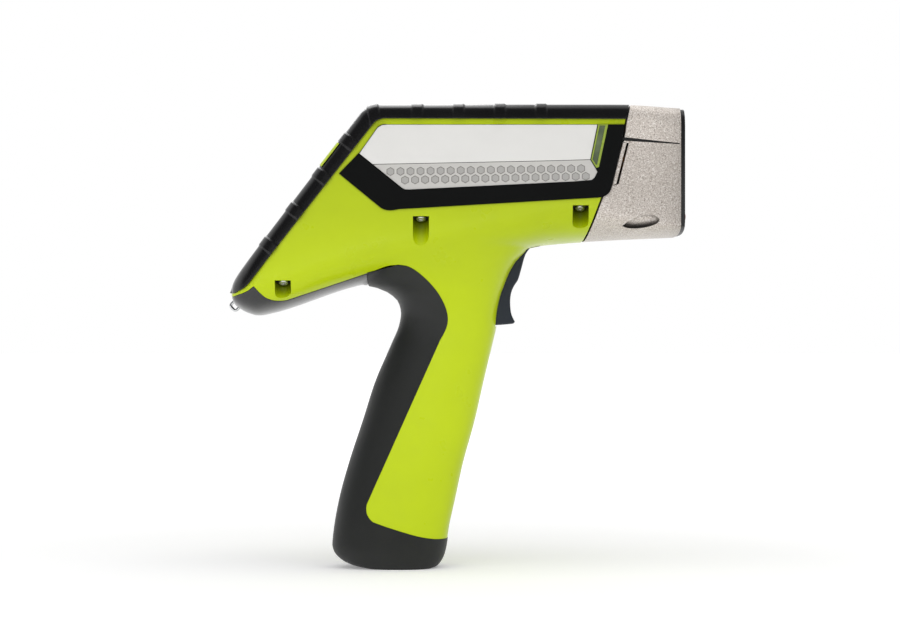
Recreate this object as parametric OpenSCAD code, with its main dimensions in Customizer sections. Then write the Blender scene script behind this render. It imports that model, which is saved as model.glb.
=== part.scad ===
// Handheld X-ray fluorescence analyzer.
// Frame: +X towards the measuring nose, +Z up, symmetric about Y = 0.
// The origin is the centre of the flat foot under the grip.

/* [Body] */
// Half width of the body at its shoulders
half_width = 46; // [42:0.5:50]
// Height of the top edge above the foot
top_z = 264.5; // [260:0.5:268]
// Slope of the rear face from the level
slant_angle = 52.3; // [50:0.1:54]
// Wall of the moulded housing
wall = 3.2; // [2.8:0.1:3.6]
// Height over which the sides curl in to the underside
belly_height = 24; // [20:1:28]
// The same at the front of the nose
nose_belly_height = 7; // [5:0.5:12]

/* [Bumper] */
// Width of the bumper's rim, seen from above
rim_width = 12; // [10:0.5:14]
// How far the bumper stands proud of the sides
bumper_proud = 1.2; // [0.8:0.1:1.6]
// How far the collars stand proud of the bumper
collar_proud = 0.8; // [0.4:0.1:1.2]
// Length of one collar
collar_length = 6.8; // [5:0.2:8]
// Distance between the collars on the top edge
top_collar_pitch = 23.2; // [22:0.1:24]
// Distance between the collars on the slanted edge
slant_collar_pitch = 24.5; // [24:0.1:26]

/* [Grip] */
// Thickness of the rubber skin on the grip
skin = 1.7; // [1.4:0.1:2]
// Lean of the battery bay from upright
battery_lean = 12.4; // [11:0.1:14]

/* [Trigger] */
// Height of the trigger's pivot above the foot
trigger_pivot_z = 189; // [188:0.5:190]
// Width of the trigger blade
trigger_width = 15; // [12:0.5:16]
// Radius of the trigger's pin
trigger_pin_r = 1.5; // [1.2:0.1:1.8]

/* [Keys] */
// Diameter of the navigation ring
nav_diameter = 23; // [20:0.5:24]

/* [Nose] */
// Wall of the nose casting
nose_wall = 3; // [2.5:0.1:3.5]
// Radius of the interlock button
button_r = 2.6; // [2:0.1:3]
// How far the interlock button stands out of the front plate
button_proud = 4.2; // [3:0.1:5]

/* [Hidden] */

// Gap between neighbouring covers
seam = 0.3;
// Reach of cuts that go right through
far = 120;

// The rear end, and the centre of the round corner between slant and top
tail_x = -90.5;
front_x = 164;
corner_r = 12;
corner_x = -6.9;
corner_z = top_z - corner_r;

// Half widths along X as shares of half_width
plan = [[-90.5, 0.56], [-89.5, 0.66], [-87, 0.75], [-83, 0.83], [-77, 0.89], [-68, 0.935],
    [-50, 0.975], [-35, 1], [120, 1], [135, 0.985], [150, 0.95], [170, 0.90]];
// Height of the underside along X
underside = [[-90.5, 153.5], [-89.5, 151.6], [-87, 149.4], [-83, 147.2], [-77, 145.6],
    [-70, 146.8], [-24, 161.8], [30, 174], [60, 180.5], [78, 184.4], [90, 186.6],
    [111, 188.3], [170, 191.3]];
// Height over which the sides curl in, along X
belly_heights = [[105, belly_height], [130, 15], [164, nose_belly_height]];
// How far the upper edge is rounded down at the tail and towards the front
end_round = [[-91.7, 3.5], [-90.5, 1.6], [-89.5, 0.8], [-87.5, 0.2], [-85, 0], [137, 0], [164, 1.1]];
// The rounded shoulders' widths and heights along X
shoulder_widths = [[137, 7], [160, 11]];
shoulder_heights = [[-14, 11], [-4, 7], [137, 7], [160, 10]];
stations = [-89.5, -87, -83, -77, -68, -50, -35, -16.3, -13.5, -10, -6.9, 30, 78, 90, 111, 120,
    135, 150];

// Grip sections: height, rear X, front X, half width
grip_rings = [[0, -15, 23.5, 17.4], [1.1, -20.5, 26.2, 18.4], [3, -26, 28, 19.2],
    [6, -30.4, 29.8, 19.7], [9, -33, 30.9, 20], [13, -34.2, 31.8, 20.2], [22, -33.4, 33, 20.2],
    [40, -30.2, 36.9, 19.8], [60, -24.8, 41.3, 19.3], [85, -16.6, 48.2, 19], [108, -9.2, 53.4, 18.9],
    [130, 0.3, 58.6, 19.3], [140, 4.4, 60.8, 20.4], [147, 5.6, 61.4, 21.7], [153, 4.3, 62.4, 23.6],
    [158, -0.3, 63.6, 25.6], [161.5, -6.6, 64.9, 27.4], [164, -14.5, 65.8, 28.8],
    [170, -18, 68.2, 31.4], [177, -12, 72.2, 33.4], [182.6, -4, 77.2, 34], [190, 4, 80, 32]];

// Screws that hold the housing to the chassis, driven inwards and up from open slots:
// X, distance from the centre plane, height
housing_screw_places = [[-60.3, 35.2, 164.2], [17.5, 41.2, 200.4], [107.2, 36.6, 205.8]];
// Ceilings of the slots
slot_tops = [165.4, 201.4, 207.6];
screw_tilt = 25;
screw_length = 8;
screw_shank_r = 1.5;
screw_head_r = 2.7;
slot_r = 4.5;
slot_wall = 1.8;
// Ledge over each slot, and the chassis ear above it
ledge_height = 3;
ear_inner_y = 27;
ear_size = [11, 5.4];

// Battery, and the centre of its bay's mouth at the foot's level
battery_size = [39.5, 21.5, 110];
battery_lift = 9.4;
bay_x = -4;
cell_r = 9.2;
cell_length = 49.5;
cell_button = 1.4;
// The door lies across the mouth, a little higher at its rear
door_size = [43, 25, 2.4];
door_z = 2.7;
door_tilt = 5;
door_hinge_x = 20.3;
door_pin_r = 0.7;

// Wrist strap loop at the tail
staple_half_width = 2.3;
staple_wire_r = 0.9;
staple_bend_r = 1.6;
staple_reach = 4.6;
staple_depth = 2;

// Depth of the dock scoops in the nose's sides
scoop_depth = 1.8;

// Springs: mean radius, wire radius, length at rest and turns
trigger_coil = [3, 0.45, 9.2, 5];
interlock_coil = [2.4, 0.35, 7.4, 5];
coil_steps = 10;

// Screws in the front plate: distance from the centre plane, heights
nose_screw_y = [-31, 31];
nose_screw_z = [205, 250];

// Pivots and places that several pieces share
trigger_pivot_x = 79;
button_z = 203;
window_z = 224;
plate_thickness = 2.2;
panel_low = 13;
panel_high = 110;
panel_half = half_width - rim_width + 0.5;
panel_depth = 2.4;
nav_s = 28;

// ---------------------------------------------------------------- outlines in the side view

// Lower edge of the bumper, from the tail round to the nose
bumper_line = [[-88, 158.4], [-82, 161.6], [-78.2, 165.6], [-10.4, 251.9], [-7.4, 254.9], [-3, 256.3],
    [132.6, 256], [134.9, 265.8]];
// Rear edge of the nose, upwards
nose_line = [[109.7, 187], [130.4, 243], [132.2, 254], [135, 266]];
// Lower edge of the housing behind the grip, from the tail forwards
tail_line = [[-88.6, 156.6], [-81, 159.3], [-76.8, 162.2], [-71.1, 156.4], [-66.9, 154.5],
    [-62.7, 154.1], [-58, 154.7], [-9.7, 170.8], [-1, 173.8], [5.9, 174.2]];
// Front edge of the grip's rubber, downwards
skin_line = [[4.3, 174.2], [10.4, 173.2], [17.3, 168.8], [24.3, 161.9], [28.6, 155.8],
    [31.7, 148.8], [32.5, 142.7], [31.2, 137.5], [27.8, 131.0], [-13.4, 38.9], [-14, 35.6],
    [-13.2, 32.3], [-9.6, 28.6], [13.2, 20.8], [24.6, 18.6], [33, 18.4]];
skin_rear_x = -13;
// Band round the label, and what lies inside it
band_outline = [[-28.4, 225.3], [-17.4, 236.7], [-17.2, 236.5], [-6.8, 251.2], [-4.4, 252.6],
    [-1.7, 252.8], [131.9, 252.8], [130.3, 242.9], [124.4, 218.4], [123.2, 215.2], [120.9, 213],
    [117.3, 211.9], [5.7, 205.4], [0.9, 204.7], [-2.4, 205], [-5.2, 206.3]];
label_outline = [[-17.2, 236.5], [-6.8, 251.2], [-4.4, 252.6], [-1.7, 252.8], [116.6, 252.8],
    [112.6, 233.1], [115.4, 228.4], [116.6, 226.2], [114.9, 222.8], [113.4, 221.6], [102.7, 220.7],
    [10.9, 216.2], [8.6, 216.3], [6.9, 217.1]];
lens_outline = [[116.9, 252.8], [122.5, 252.8], [117.3, 228.9], [115.8, 228.4], [112.9, 233.1]];
clip_outline = [[130.9, 242.6], [132.9, 242.4], [127.1, 219.5], [125, 218.8]];
clip_gap = 0.8;
seam_outline = [[129, 246], [163, 242.7], [163, 242.1], [129, 243.9]];
scoop_outline = [[131.1, 196.5], [134, 198.6], [138, 200.6], [143, 202], [147.5, 202.4], [151, 201.8],
    [153.8, 199.7], [151.5, 198.2], [148.5, 196.9], [144, 195.8], [139.3, 195.3], [135, 195.6]];
trigger_outline = [[79.5, 193], [75.2, 190.4], [71.4, 184], [66.5, 176.5], [62.4, 168], [59.4, 158],
    [58.4, 148], [58.2, 141.4], [60, 140.2], [70, 141], [71.2, 142.1], [70.6, 143.4],
    [69.3, 146.4], [68.7, 150], [68.6, 155], [69.3, 159.4], [70.9, 163], [73, 166.2],
    [74.8, 172], [77.4, 181], [80.8, 186], [82, 190.6]];

// Extrudes an outline of the side view (X, Z) across Y
module across(y_low, y_high) {
    translate([0, y_high, 0])
        rotate([90, 0, 0])
            linear_extrude(y_high - y_low) children();
}

module region(points, y_low = -far, y_high = far) {
    across(y_low, y_high) polygon(points);
}

// ---------------------------------------------------------------- lofted forms

// Skins a row of rings; the quads' diagonals are mirrored about the middle of the ring
module loft(rings) {
    n = len(rings[0]);
    last = len(rings) - 1;
    polyhedron(
        points = [for (ring = rings) each ring],
        faces = concat(
            [[for (i = [n - 1 : -1 : 0]) i]],
            [[for (i = [0 : n - 1]) last * n + i]],
            [for (j = [0 : last - 1], i = [0 : n - 1])
                let (k = (i + 1) % n, a = j * n + i, b = j * n + k, c = a + n, d = b + n)
                each i < n / 2 ? [[c, a, d], [d, a, b]] : [[c, a, b], [c, b, d]]]
        )
    );
}

// Evaluates lofted children as one mesh before exact cuts are made in them
module as_mesh() {
    resize([0, 0, 0]) children();
}

// Top edge of the body at x, sunk by d square to the surface
function top_edge(x, d) =
    let (
        r = corner_r - d,
        tangent_x = corner_x - r * sin(slant_angle),
        tangent_z = corner_z + r * cos(slant_angle)
    )
    (x >= corner_x ? corner_z + r
        : x > tangent_x ? corner_z + sqrt(r * r - pow(corner_x - x, 2))
        : tangent_z - (tangent_x - x) * tan(slant_angle))
    - lookup(x, end_round);

function body_ring(x, top_in, side_in) =
    let (
        w = half_width * lookup(x, plan) - side_in,
        z_top = top_edge(x, top_in),
        z_low = lookup(x, underside) + side_in,
        belly = min(lookup(x, belly_heights), 0.55 * (z_top - z_low)),
        z_mid = z_low + belly,
        shoulder = min(lookup(x, shoulder_widths), 0.4 * w),
        shoulder_drop = min(lookup(x, shoulder_heights), 0.8 * (z_top - z_mid)),
        half = concat(
            [for (a = [0, 30, 60, 90]) [
                w - shoulder + shoulder * sin(a),
                z_top - shoulder_drop + shoulder_drop * cos(a)]],
            [for (a = [0, 20, 36, 50, 62, 73, 83]) [
                w * pow(cos(a), 0.77),
                z_mid - belly * pow(sin(a), 0.77)]]
        )
    )
    concat(
        [for (p = half) [x, p[0], p[1]]],
        [for (i = [len(half) - 1 : -1 : 0]) [x, -half[i][0], half[i][1]]]
    );

// The body with its top sunk by top_in and its sides and underside by side_in
module body_form(top_in, side_in, end_x = front_x) {
    start = tail_x + side_in;
    loft([for (x = concat([start], [for (s = stations) if (s > start + 0.4 && s < end_x) s], [end_x]))
        body_ring(x, top_in, side_in)]);
}

function grip_ring(r, d) =
    let (
        mid = (r[1] + r[2]) / 2,
        a = (r[2] - r[1]) / 2 - d,
        b = r[3] - d
    )
    [for (i = [0 : 23])
        let (t = i * 15, c = cos(t), s = sin(t))
        [mid + a * sign(c) * pow(abs(c), 0.74), b * sign(s) * pow(abs(s), 0.74), r[0]]];

module grip_form(d, foot = 0) {
    rings = [for (r = grip_rings) if (r[0] >= foot) r];
    loft([for (i = [len(rings) - 1 : -1 : 0]) grip_ring(rings[i], d)]);
}

module whole_form(d) {
    body_form(d, d);
    grip_form(d, d > 0 ? d : 0);
}

// ---------------------------------------------------------------- frames of reference

// Local x runs up the slanted face, local z out of it; zero depth is the bumper's face
module on_panel() {
    tangent_x = corner_x - corner_r * sin(slant_angle);
    tangent_z = corner_z + corner_r * cos(slant_angle);
    run = tangent_x - tail_x;
    translate([tail_x, 0, tangent_z - run * tan(slant_angle)])
        rotate([0, -slant_angle, 0])
            children();
}

module rounded_plate(size, r) {
    linear_extrude(size[2])
        rounded_rectangle([size[0], size[1]], r);
}

module rounded_rectangle(size, r) {
    for (x = [-1, 1], y = [-1, 1])
        translate([x * (size[0] / 2 - r), y * (size[1] / 2 - r)]) circle(r, $fn = 32);
    square([size[0] - 2 * r, size[1]], center = true);
    square([size[0], size[1] - 2 * r], center = true);
}

// Local z runs up the battery bay, from the centre of its mouth at the foot
module in_battery_bay() {
    translate([bay_x, 0, 0]) rotate([0, battery_lean, 0]) children();
}

// Local z runs up through the battery door, from its lower face
module on_door() {
    translate([bay_x, 0, door_z]) rotate([0, door_tilt, 0]) children();
}

module battery_block(clearance) {
    in_battery_bay()
        translate([-battery_size[0] / 2 - clearance, -battery_size[1] / 2 - clearance, -10])
            cube([battery_size[0] + 2 * clearance, battery_size[1] + 2 * clearance,
                battery_size[2] + battery_lift + 10 + clearance]);
}

module rod(from_x, to_x, r, y = 0, z = 0) {
    translate([from_x, y, z]) rotate([0, 90, 0]) cylinder(h = to_x - from_x, r = r, $fn = 48);
}

module cross_pin(x, z, y_low, y_high, r) {
    translate([x, y_low, z]) rotate([-90, 0, 0]) cylinder(h = y_high - y_low, r = r, $fn = 48);
}

// ---------------------------------------------------------------- housing

module bumper_region() {
    region(concat(bumper_line, [[136, 300], [-110, 300], [-110, 158.4]]));
}

module nose_region() {
    region(concat(nose_line, [[200, 266], [200, 180], [109.7, 180]]));
}

module tail_region(gap = 0) {
    region(concat([[-110, 156.6]], [for (p = tail_line) [p[0], p[1] + gap]],
        [[skin_rear_x + gap + 18, 160], [skin_rear_x + gap, 160], [skin_rear_x + gap, 130],
            [-110, 130]]));
}

module skin_region() {
    region(concat([[skin_rear_x, 169.8]], skin_line, [[60, 18.4], [60, -10], [-80, -10],
        [-80, 140], [skin_rear_x, 140]]));
}

// One plain U, open outwards, that a screw is driven through from below
module slot_outline(r, out) {
    circle(r, $fn = 32);
    translate([-r, 0]) square([2 * r, out]);
}

// Local z runs inwards and up along each screw from the seat of its head, local y outwards
module at_screws(side) {
    for (p = housing_screw_places)
        translate([p[0], side * p[1], p[2]]) scale([1, side, 1]) rotate([screw_tilt, 0, 0]) children();
}

// What lies below level tops over the right half's screws
module below(tops) {
    for (i = [0 : 2])
        translate([housing_screw_places[i][0] - 10, -far, tops[i] - 60]) cube([20, far, 60]);
}

module screw_slots() {
    intersection() {
        at_screws(-1)
            translate([0, 0, -40]) linear_extrude(40) slot_outline(slot_r, 20);
        below(slot_tops);
    }
}

module screw_bosses() {
    intersection() {
        at_screws(-1)
            translate([0, 0, -26]) linear_extrude(36) slot_outline(slot_r + slot_wall, 12);
        below([for (p = housing_screw_places) p[2] + ledge_height]);
    }
}

module grip_ribs() {
    for (z = [24, 50, 76, 102, 124])
        translate([-60, -40, z]) cube([140, 80, 1.6]);
}

module trigger_slot() {
    translate([56, -trigger_width / 2 - 0.4, 139.4]) cube([30, trigger_width + 0.8, 60]);
}

// The right half, from the outside inwards: covers' seats, shell, ribs, bosses and slots
module housing_half() {
    difference() {
        as_mesh() intersection() {
            difference() {
                union() {
                    difference() {
                        whole_form(0);
                        whole_form(wall);
                        translate([0, 0, -40]) cube([26, 20, 100], center = true);
                    }
                    intersection() {
                        grip_form(wall - 0.3, wall);
                        grip_ribs();
                    }
                    intersection() {
                        body_form(1, 0.2);
                        screw_bosses();
                    }
                }
                bumper_region();
                nose_region();
                tail_region(0);
                difference() {
                    intersection() {
                        skin_region();
                        translate([-50, -far, -5]) cube([100, 2 * far, 182]);
                    }
                    whole_form(skin);
                }
                screw_slots();
                battery_block(0.4);
            }
            translate([-200, -200, -20]) cube([400, 199.98, 400]);
        }
        region(band_outline, -far, 1.6 - half_width);
        region(lens_outline);
        trigger_slot();
        on_door() translate([0, 0, -1]) cube([door_size[0] + 1, door_size[1] + 1, 14], center = true);
        at_screws(-1)
            translate([0, 0, -1]) cylinder(h = 7, r = screw_shank_r + 0.2, $fn = 32);
        cross_pin(trigger_pivot_x, trigger_pivot_z, -14, 14, trigger_pin_r);
    }
}

module housing_right() {
    color("yellowgreen") housing_half();
}

module housing_left() {
    color("yellowgreen") mirror([0, 1, 0]) housing_half();
}

// ---------------------------------------------------------------- bumper and covers

module deck_window(grow) {
    translate([66, 0, 240])
        linear_extrude(60) rounded_rectangle([126 + 2 * grow, 2 * panel_half + 2 * grow], 6 + grow);
}

module panel_window(grow) {
    on_panel()
        translate([(panel_low + panel_high) / 2, 0, -25])
            linear_extrude(60)
                rounded_rectangle([panel_high - panel_low + 2 * grow, 2 * panel_half + 2 * grow], 8 + grow);
}

module collar_slabs(length) {
    for (i = [0 : 3])
        translate([15.4 + i * top_collar_pitch - length / 2, -far, 240]) cube([length, 2 * far, 60]);
    for (i = [0 : 3])
        on_panel()
            translate([30.2 + i * slant_collar_pitch - length / 2, -far, -40]) cube([length, 2 * far, 80]);
    translate([-10.2, 0, 250]) rotate([0, -slant_angle / 2, 0])
        translate([-length / 2, -far, -20]) cube([length, 2 * far, 60]);
}

module bumper() {
    color("#26262a") as_mesh() difference() {
        intersection() {
            union() {
                body_form(0, -bumper_proud, 137);
                intersection() {
                    body_form(-0.6 * collar_proud, -bumper_proud - collar_proud, 137);
                    collar_slabs(collar_length);
                }
            }
            bumper_region();
        }
        body_form(6.5, 4.5, 131);
        deck_window(0);
        panel_window(0);
    }
}

module top_cover() {
    color("#303034") {
        translate([66, 0, top_z - 5.6])
            rounded_plate([126 - 2 * seam, 2 * panel_half - 2 * seam, 3.4], 6 - seam);
        for (i = [0 : 12])
            translate([66, (i - 6) * 4.6, top_z - 2.4])
                rounded_plate([108, 2, 1.5], 0.9);
    }
}

module tail_cover() {
    color("#202024") difference() {
        as_mesh() intersection() {
            difference() {
                body_form(0, 0.1);
                body_form(3, 2.6);
            }
            tail_region(-0.15);
            translate([-200, -far, 100]) cube([200 + skin_rear_x - seam, 2 * far, 200]);
        }
        at_staple() staple_legs(staple_wire_r + 0.03);
    }
}

module grip_overmould() {
    color("#2a2a2a") difference() {
        as_mesh() difference() {
            intersection() {
                whole_form(-0.2);
                skin_region();
                translate([-50, -far, -5]) cube([100, 2 * far, 182]);
            }
            whole_form(skin);
        }
        translate([-60, -40, -10]) cube([140, 80, 10]);
        on_door() {
            translate([0, 0, -8])
                rounded_plate([door_size[0] + 2 * seam, door_size[1] + 2 * seam, 23], 4);
            translate([0, -door_size[1] / 2 - seam, -8])
                cube([door_size[0] / 2 + seam, door_size[1] + 2 * seam, 23]);
            cross_pin(door_hinge_x, door_size[2] / 2, -14.2, 14.2, door_pin_r + 0.06);
        }
        trigger_slot();
    }
}

// ---------------------------------------------------------------- sides

module plate_on_side(side, inner, outer) {
    if (side > 0)
        across(inner, outer) children();
    else
        across(-outer, -inner) children();
}

module side_band(side) {
    color("#1f1f22") difference() {
        plate_on_side(side, half_width - 1.6, half_width + 0.7) polygon(band_outline);
        plate_on_side(side, half_width - 0.6, half_width + 2) polygon(label_outline);
        plate_on_side(side, half_width - 3, half_width + 2) offset(delta = 0.1) polygon(lens_outline);
    }
}

module side_band_right() {
    side_band(-1);
}

module side_band_left() {
    side_band(1);
}

// Two staggered rows of shallow hexagons
module hexagon_rows(side) {
    for (i = [0 : 19])
        translate([0.4 + i * 5.63, side * (half_width + 0.35), 226.4 + i * 0.09])
            rotate([90, 30, 0]) cylinder(h = 0.4, r = 2.5, center = true, $fn = 6);
    for (i = [0 : 18])
        translate([8.6 + i * 5.63, side * (half_width + 0.35), 221.6 + i * 0.12])
            rotate([90, 30, 0]) cylinder(h = 0.4, r = 2.5, center = true, $fn = 6);
}

module label_plate(side) {
    color("#dedcd8") difference() {
        plate_on_side(side, half_width - 0.6, half_width + 0.35)
            offset(delta = -0.15) polygon(label_outline);
        hexagon_rows(side);
        plate_on_side(side, half_width + 0.15, half_width + 2)
            polygon([[-9.4, 230.7], [85, 232.6], [113.4, 233.4], [113.4, 233.0], [85, 232.2], [-9, 230.3]]);
    }
}

module label_plate_right() {
    label_plate(-1);
}

module label_plate_left() {
    label_plate(1);
}

module beacon_lens(side) {
    color("#5f8f2f") plate_on_side(side, half_width - 2.6, half_width + 0.9) polygon(lens_outline);
}

module beacon_lens_right() {
    beacon_lens(-1);
}

module beacon_lens_left() {
    beacon_lens(1);
}

// ---------------------------------------------------------------- control panel

module control_panel() {
    color("#2c2c30") on_panel() difference() {
        translate([(panel_low + panel_high) / 2, 0, -panel_depth - 3.2])
            rounded_plate([panel_high - panel_low - 2 * seam, 2 * panel_half - 2 * seam, 3.2], 8 - seam);
        translate([75, 0, -panel_depth - 1.3]) rounded_plate([64.4, 54.4, 5], 3);
        translate([75, 0, -20]) rounded_plate([58, 46, 30], 2);
        translate([nav_s, 0, -20]) cylinder(h = 30, d = nav_diameter + 0.8, $fn = 64);
        for (side = [-1, 1])
            translate([nav_s, side * 22.6, -20]) rounded_plate([17.7, 12.7, 30], 4.3);
    }
}

module touch_screen() {
    color("#101418") on_panel()
        translate([75, 0, -panel_depth - 1.3]) rounded_plate([64, 54, 1.2], 2.8);
}

module display_module() {
    color("#8a8f94") on_panel() {
        translate([75, 0, -panel_depth - 7.4]) rounded_plate([62, 50, 3.9], 1.5);
        translate([75, 0, -panel_depth - 3.5]) rounded_plate([56, 44, 2], 1.5);
    }
}

module key_cap(s, y, size, corner) {
    on_panel() translate([s, y, -panel_depth - 3.6]) {
        rounded_plate([size[0], size[1], 4.6], corner);
        rounded_plate([size[0] - 4, size[1] - 4, 5.1], corner - 2);
    }
}

module power_key() {
    color("#8c2f2c") key_cap(nav_s, 22.6, [17, 12], 4);
}

module clear_key() {
    color("#b9bbb8") key_cap(nav_s, -22.6, [17, 12], 4);
}

module select_key() {
    color("#b9bbb8") on_panel()
        translate([nav_s, 0, -panel_depth - 3.6]) cylinder(h = 5.2, d = 8, $fn = 48);
}

module nav_ring() {
    color("#3a3c40") on_panel() translate([nav_s, 0, -panel_depth]) difference() {
        rotate_extrude($fn = 64)
            polygon([[4.6, -1.4], [nav_diameter / 2, -1.4], [nav_diameter / 2, 0.9],
                [nav_diameter / 2 - 0.8, 1.5], [8, 1.1], [5.2, 0.9], [4.6, 0.4]]);
        for (a = [0 : 90 : 270])
            rotate([0, 0, a]) translate([9.2, 0, 1]) cylinder(h = 2, r = 1.3, $fn = 3);
    }
}

module nav_post() {
    color("#55585c") on_panel() translate([nav_s, 0, -panel_depth - 3.4])
        rotate_extrude($fn = 48)
            polygon([[4.6, 0], [7, 0], [7, 1.7], [4.6, 1.7]]);
}

module key_board() {
    color("#1d5c38") on_panel() difference() {
        translate([nav_s, 0, -panel_depth - 7.6]) rounded_plate([26, 62, 1.6], 2);
        for (side = [-1, 1])
            translate([nav_s + 8, side * 27, -20]) cylinder(h = 30, r = 1.2, $fn = 24);
    }
    color("#c8c8c0") on_panel()
        for (y = [-22.6, 0, 22.6])
            translate([nav_s, y, -panel_depth - 6]) cylinder(h = 1.2, r = 2.6, $fn = 32);
}

// ---------------------------------------------------------------- nose

module nose_shell() {
    difference() {
        body_form(0.2, 0.2);
        body_form(nose_wall + 0.2, nose_wall, front_x + 5);
    }
}

module nose_cut(upper) {
    line = [[90, 245], [129, 244.2], [163, 242.3], [190, 240.8]];
    region(upper ? concat(line, [[190, 300], [90, 300]]) : concat(line, [[190, 150], [90, 150]]));
}

module nose_front_x(gap) {
    translate([front_x - gap, -far, 150]) cube([40, 2 * far, 200]);
}

// Leaf-shaped recesses for a dock's lugs, which follow the nose's surface
module scoops() {
    difference() {
        region(scoop_outline);
        body_form(scoop_depth, scoop_depth);
    }
}

module nose_part(upper) {
    difference() {
        as_mesh() difference() {
            intersection() {
                nose_shell();
                translate([seam, 0, 0]) nose_region();
                nose_cut(upper);
            }
            nose_front_x(1.4);
            scoops();
        }
        for (side = [-1, 1]) {
            plate_on_side(side, half_width - 3, far) offset(delta = seam) polygon(band_outline);
            plate_on_side(side, half_width - 3.6, far) {
                offset(delta = 0.1) polygon(clip_outline);
                translate([clip_gap, 0]) offset(delta = 0.1) polygon(clip_outline);
            }
            plate_on_side(side, half_width - 2.6, far) polygon(seam_outline);
        }
    }
}

module nose_upper() {
    color("#a89e98") nose_part(true);
}

module nose_lower() {
    color("#a89e98") nose_part(false);
}

module nose_clip(side) {
    color("#8f8680") plate_on_side(side, half_width - 3.5, half_width - 0.1) polygon(clip_outline);
}

module nose_clip_right() {
    nose_clip(-1);
}

module nose_clip_left() {
    nose_clip(1);
}

// Outline of the nose's front, sunk by d
function front_outline(d) = [for (p = body_ring(front_x, d, d)) [p[1], p[2]]];

module front_slab(x_low, x_high, d) {
    translate([x_low, 0, 0]) rotate([90, 0, 90]) linear_extrude(x_high - x_low)
        polygon(front_outline(d));
}

module front_gasket() {
    color("#151515") difference() {
        front_slab(front_x - 1.4, front_x, 0.5);
        front_slab(front_x - 2, front_x + 1, 4.5);
    }
}

module front_plate() {
    color("#1c1c1e") difference() {
        front_slab(front_x, front_x + plate_thickness, 0.9);
        translate([front_x - 1, 0, window_z]) rotate([90, 0, 90])
            rounded_plate([26, 26, 10], 6);
        rod(front_x - 1, front_x + 10, button_r + 0.15, 0, button_z);
        for (y = nose_screw_y, z = nose_screw_z) {
            rod(front_x - 1, front_x + 10, screw_shank_r + 0.1, y, z);
            rod(front_x + plate_thickness - 0.9, front_x + 10, 2.9, y, z);
        }
    }
}

module window_frame() {
    color("#9a9da0") translate([front_x - 0.8, 0, window_z]) rotate([90, 0, 90]) difference() {
        rounded_plate([25.4, 25.4, plate_thickness + 0.4], 5.7);
        translate([0, 0, -1]) cylinder(h = 10, r = 7, $fn = 64);
    }
}

module window_film() {
    color("#c9a24a") rod(front_x - 1, front_x - 0.8, 9, 0, window_z);
}

module interlock_button() {
    color("#6b3a34") translate([0, 0, button_z]) rotate([0, 90, 0]) rotate_extrude($fn = 48)
        polygon([[0, front_x - 5.6], [3.6, front_x - 5.6], [3.6, front_x - 4.2],
            [button_r, front_x - 4.2], [button_r, front_x + plate_thickness + button_proud - 1.2],
            [button_r - 0.5, front_x + plate_thickness + button_proud - 0.3],
            [button_r - 1.4, front_x + plate_thickness + button_proud],
            [0, front_x + plate_thickness + button_proud]]);
}

// A compression spring along local z
module coil(size) {
    steps = size[3] * coil_steps;
    loft([for (i = [0 : steps])
        let (a = 360 * i / coil_steps, z = size[2] * i / steps)
        [for (k = [0 : 5])
            let (r = size[0] + size[1] * cos(60 * k))
            [r * cos(a), r * sin(a), z + size[1] * sin(60 * k)]]]);
}

module interlock_spring() {
    color("silver") translate([front_x - 13.6, 0, button_z]) rotate([0, 90, 0]) coil(interlock_coil);
}

module interlock_switch() {
    color("#2f2f33") translate([front_x - 22.6, -4.5, button_z - 5]) cube([7.6, 9, 8.2]);
}

module nose_screws() {
    color("#b8b8b8") for (y = nose_screw_y, z = nose_screw_z) {
        rod(front_x - 8, front_x + plate_thickness - 0.9, screw_shank_r, y, z);
        difference() {
            rod(front_x + plate_thickness - 0.9, front_x + plate_thickness - 0.2, 2.8, y, z);
            translate([front_x + plate_thickness - 0.4, y, z]) rotate([0, 90, 0])
                cylinder(h = 3, r = 1.3, $fn = 6);
        }
    }
}

// ---------------------------------------------------------------- trigger

module trigger() {
    color("#2d3644") difference() {
        across(-trigger_width / 2, trigger_width / 2) polygon(trigger_outline);
        cross_pin(trigger_pivot_x, trigger_pivot_z, -20, 20, trigger_pin_r + 0.05);
    }
}

module trigger_pin() {
    color("silver") cross_pin(trigger_pivot_x, trigger_pivot_z, -11, 11, trigger_pin_r);
}

module trigger_spring() {
    color("silver") translate([48.6, 0, 152]) rotate([0, 90, 0]) coil(trigger_coil);
}

module trigger_switch() {
    color("#2f2f33") translate([40, -5, 158]) cube([13, 10, 11]);
}

// ---------------------------------------------------------------- inside the body

module chassis_line() {
    polygon([[-60, 167.4], [10, 205], [24, 205], [94, 208.8], [112, 208.8], [112, 211.4],
        [94, 211.4], [24, 207.6], [9.3, 207.6], [-60, 170.3]]);
}

module chassis() {
    color("#9aa0a4") difference() {
        union() {
            across(-34, 34) chassis_line();
            for (side = [-1, 1], p = housing_screw_places)
                scale([1, side, 1])
                    translate([p[0] - ear_size[0] / 2, ear_inner_y, p[2] + ledge_height + seam])
                        cube([ear_size[0], p[1] + 0.4 - ear_inner_y, ear_size[1]]);
        }
        for (side = [-1, 1])
            at_screws(side) cylinder(h = screw_length, r = screw_shank_r, $fn = 32);
        translate([30, -20, 190]) cube([40, 40, 40]);
        for (x = [-40 : 14 : 2])
            translate([x, 0, 190]) cube([8, 40, 60], center = true);
    }
}

module xray_tube() {
    color("#b0855a") translate([front_x - 10, 0, window_z + 5]) rotate([0, -66, 0]) {
        translate([0, 0, 6]) cylinder(h = 34, r = 9.5, $fn = 64);
        cylinder(h = 6, r = 4.5, $fn = 48);
        for (z = [14, 20, 26, 32])
            translate([0, 0, z]) cylinder(h = 2, r = 11, $fn = 64);
    }
}

module collimator() {
    color("#77797c") difference() {
        rod(front_x - 8, front_x - 1.2, 13, 0, window_z);
        rod(front_x - 9, front_x, 9.6, 0, window_z);
    }
}

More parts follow.
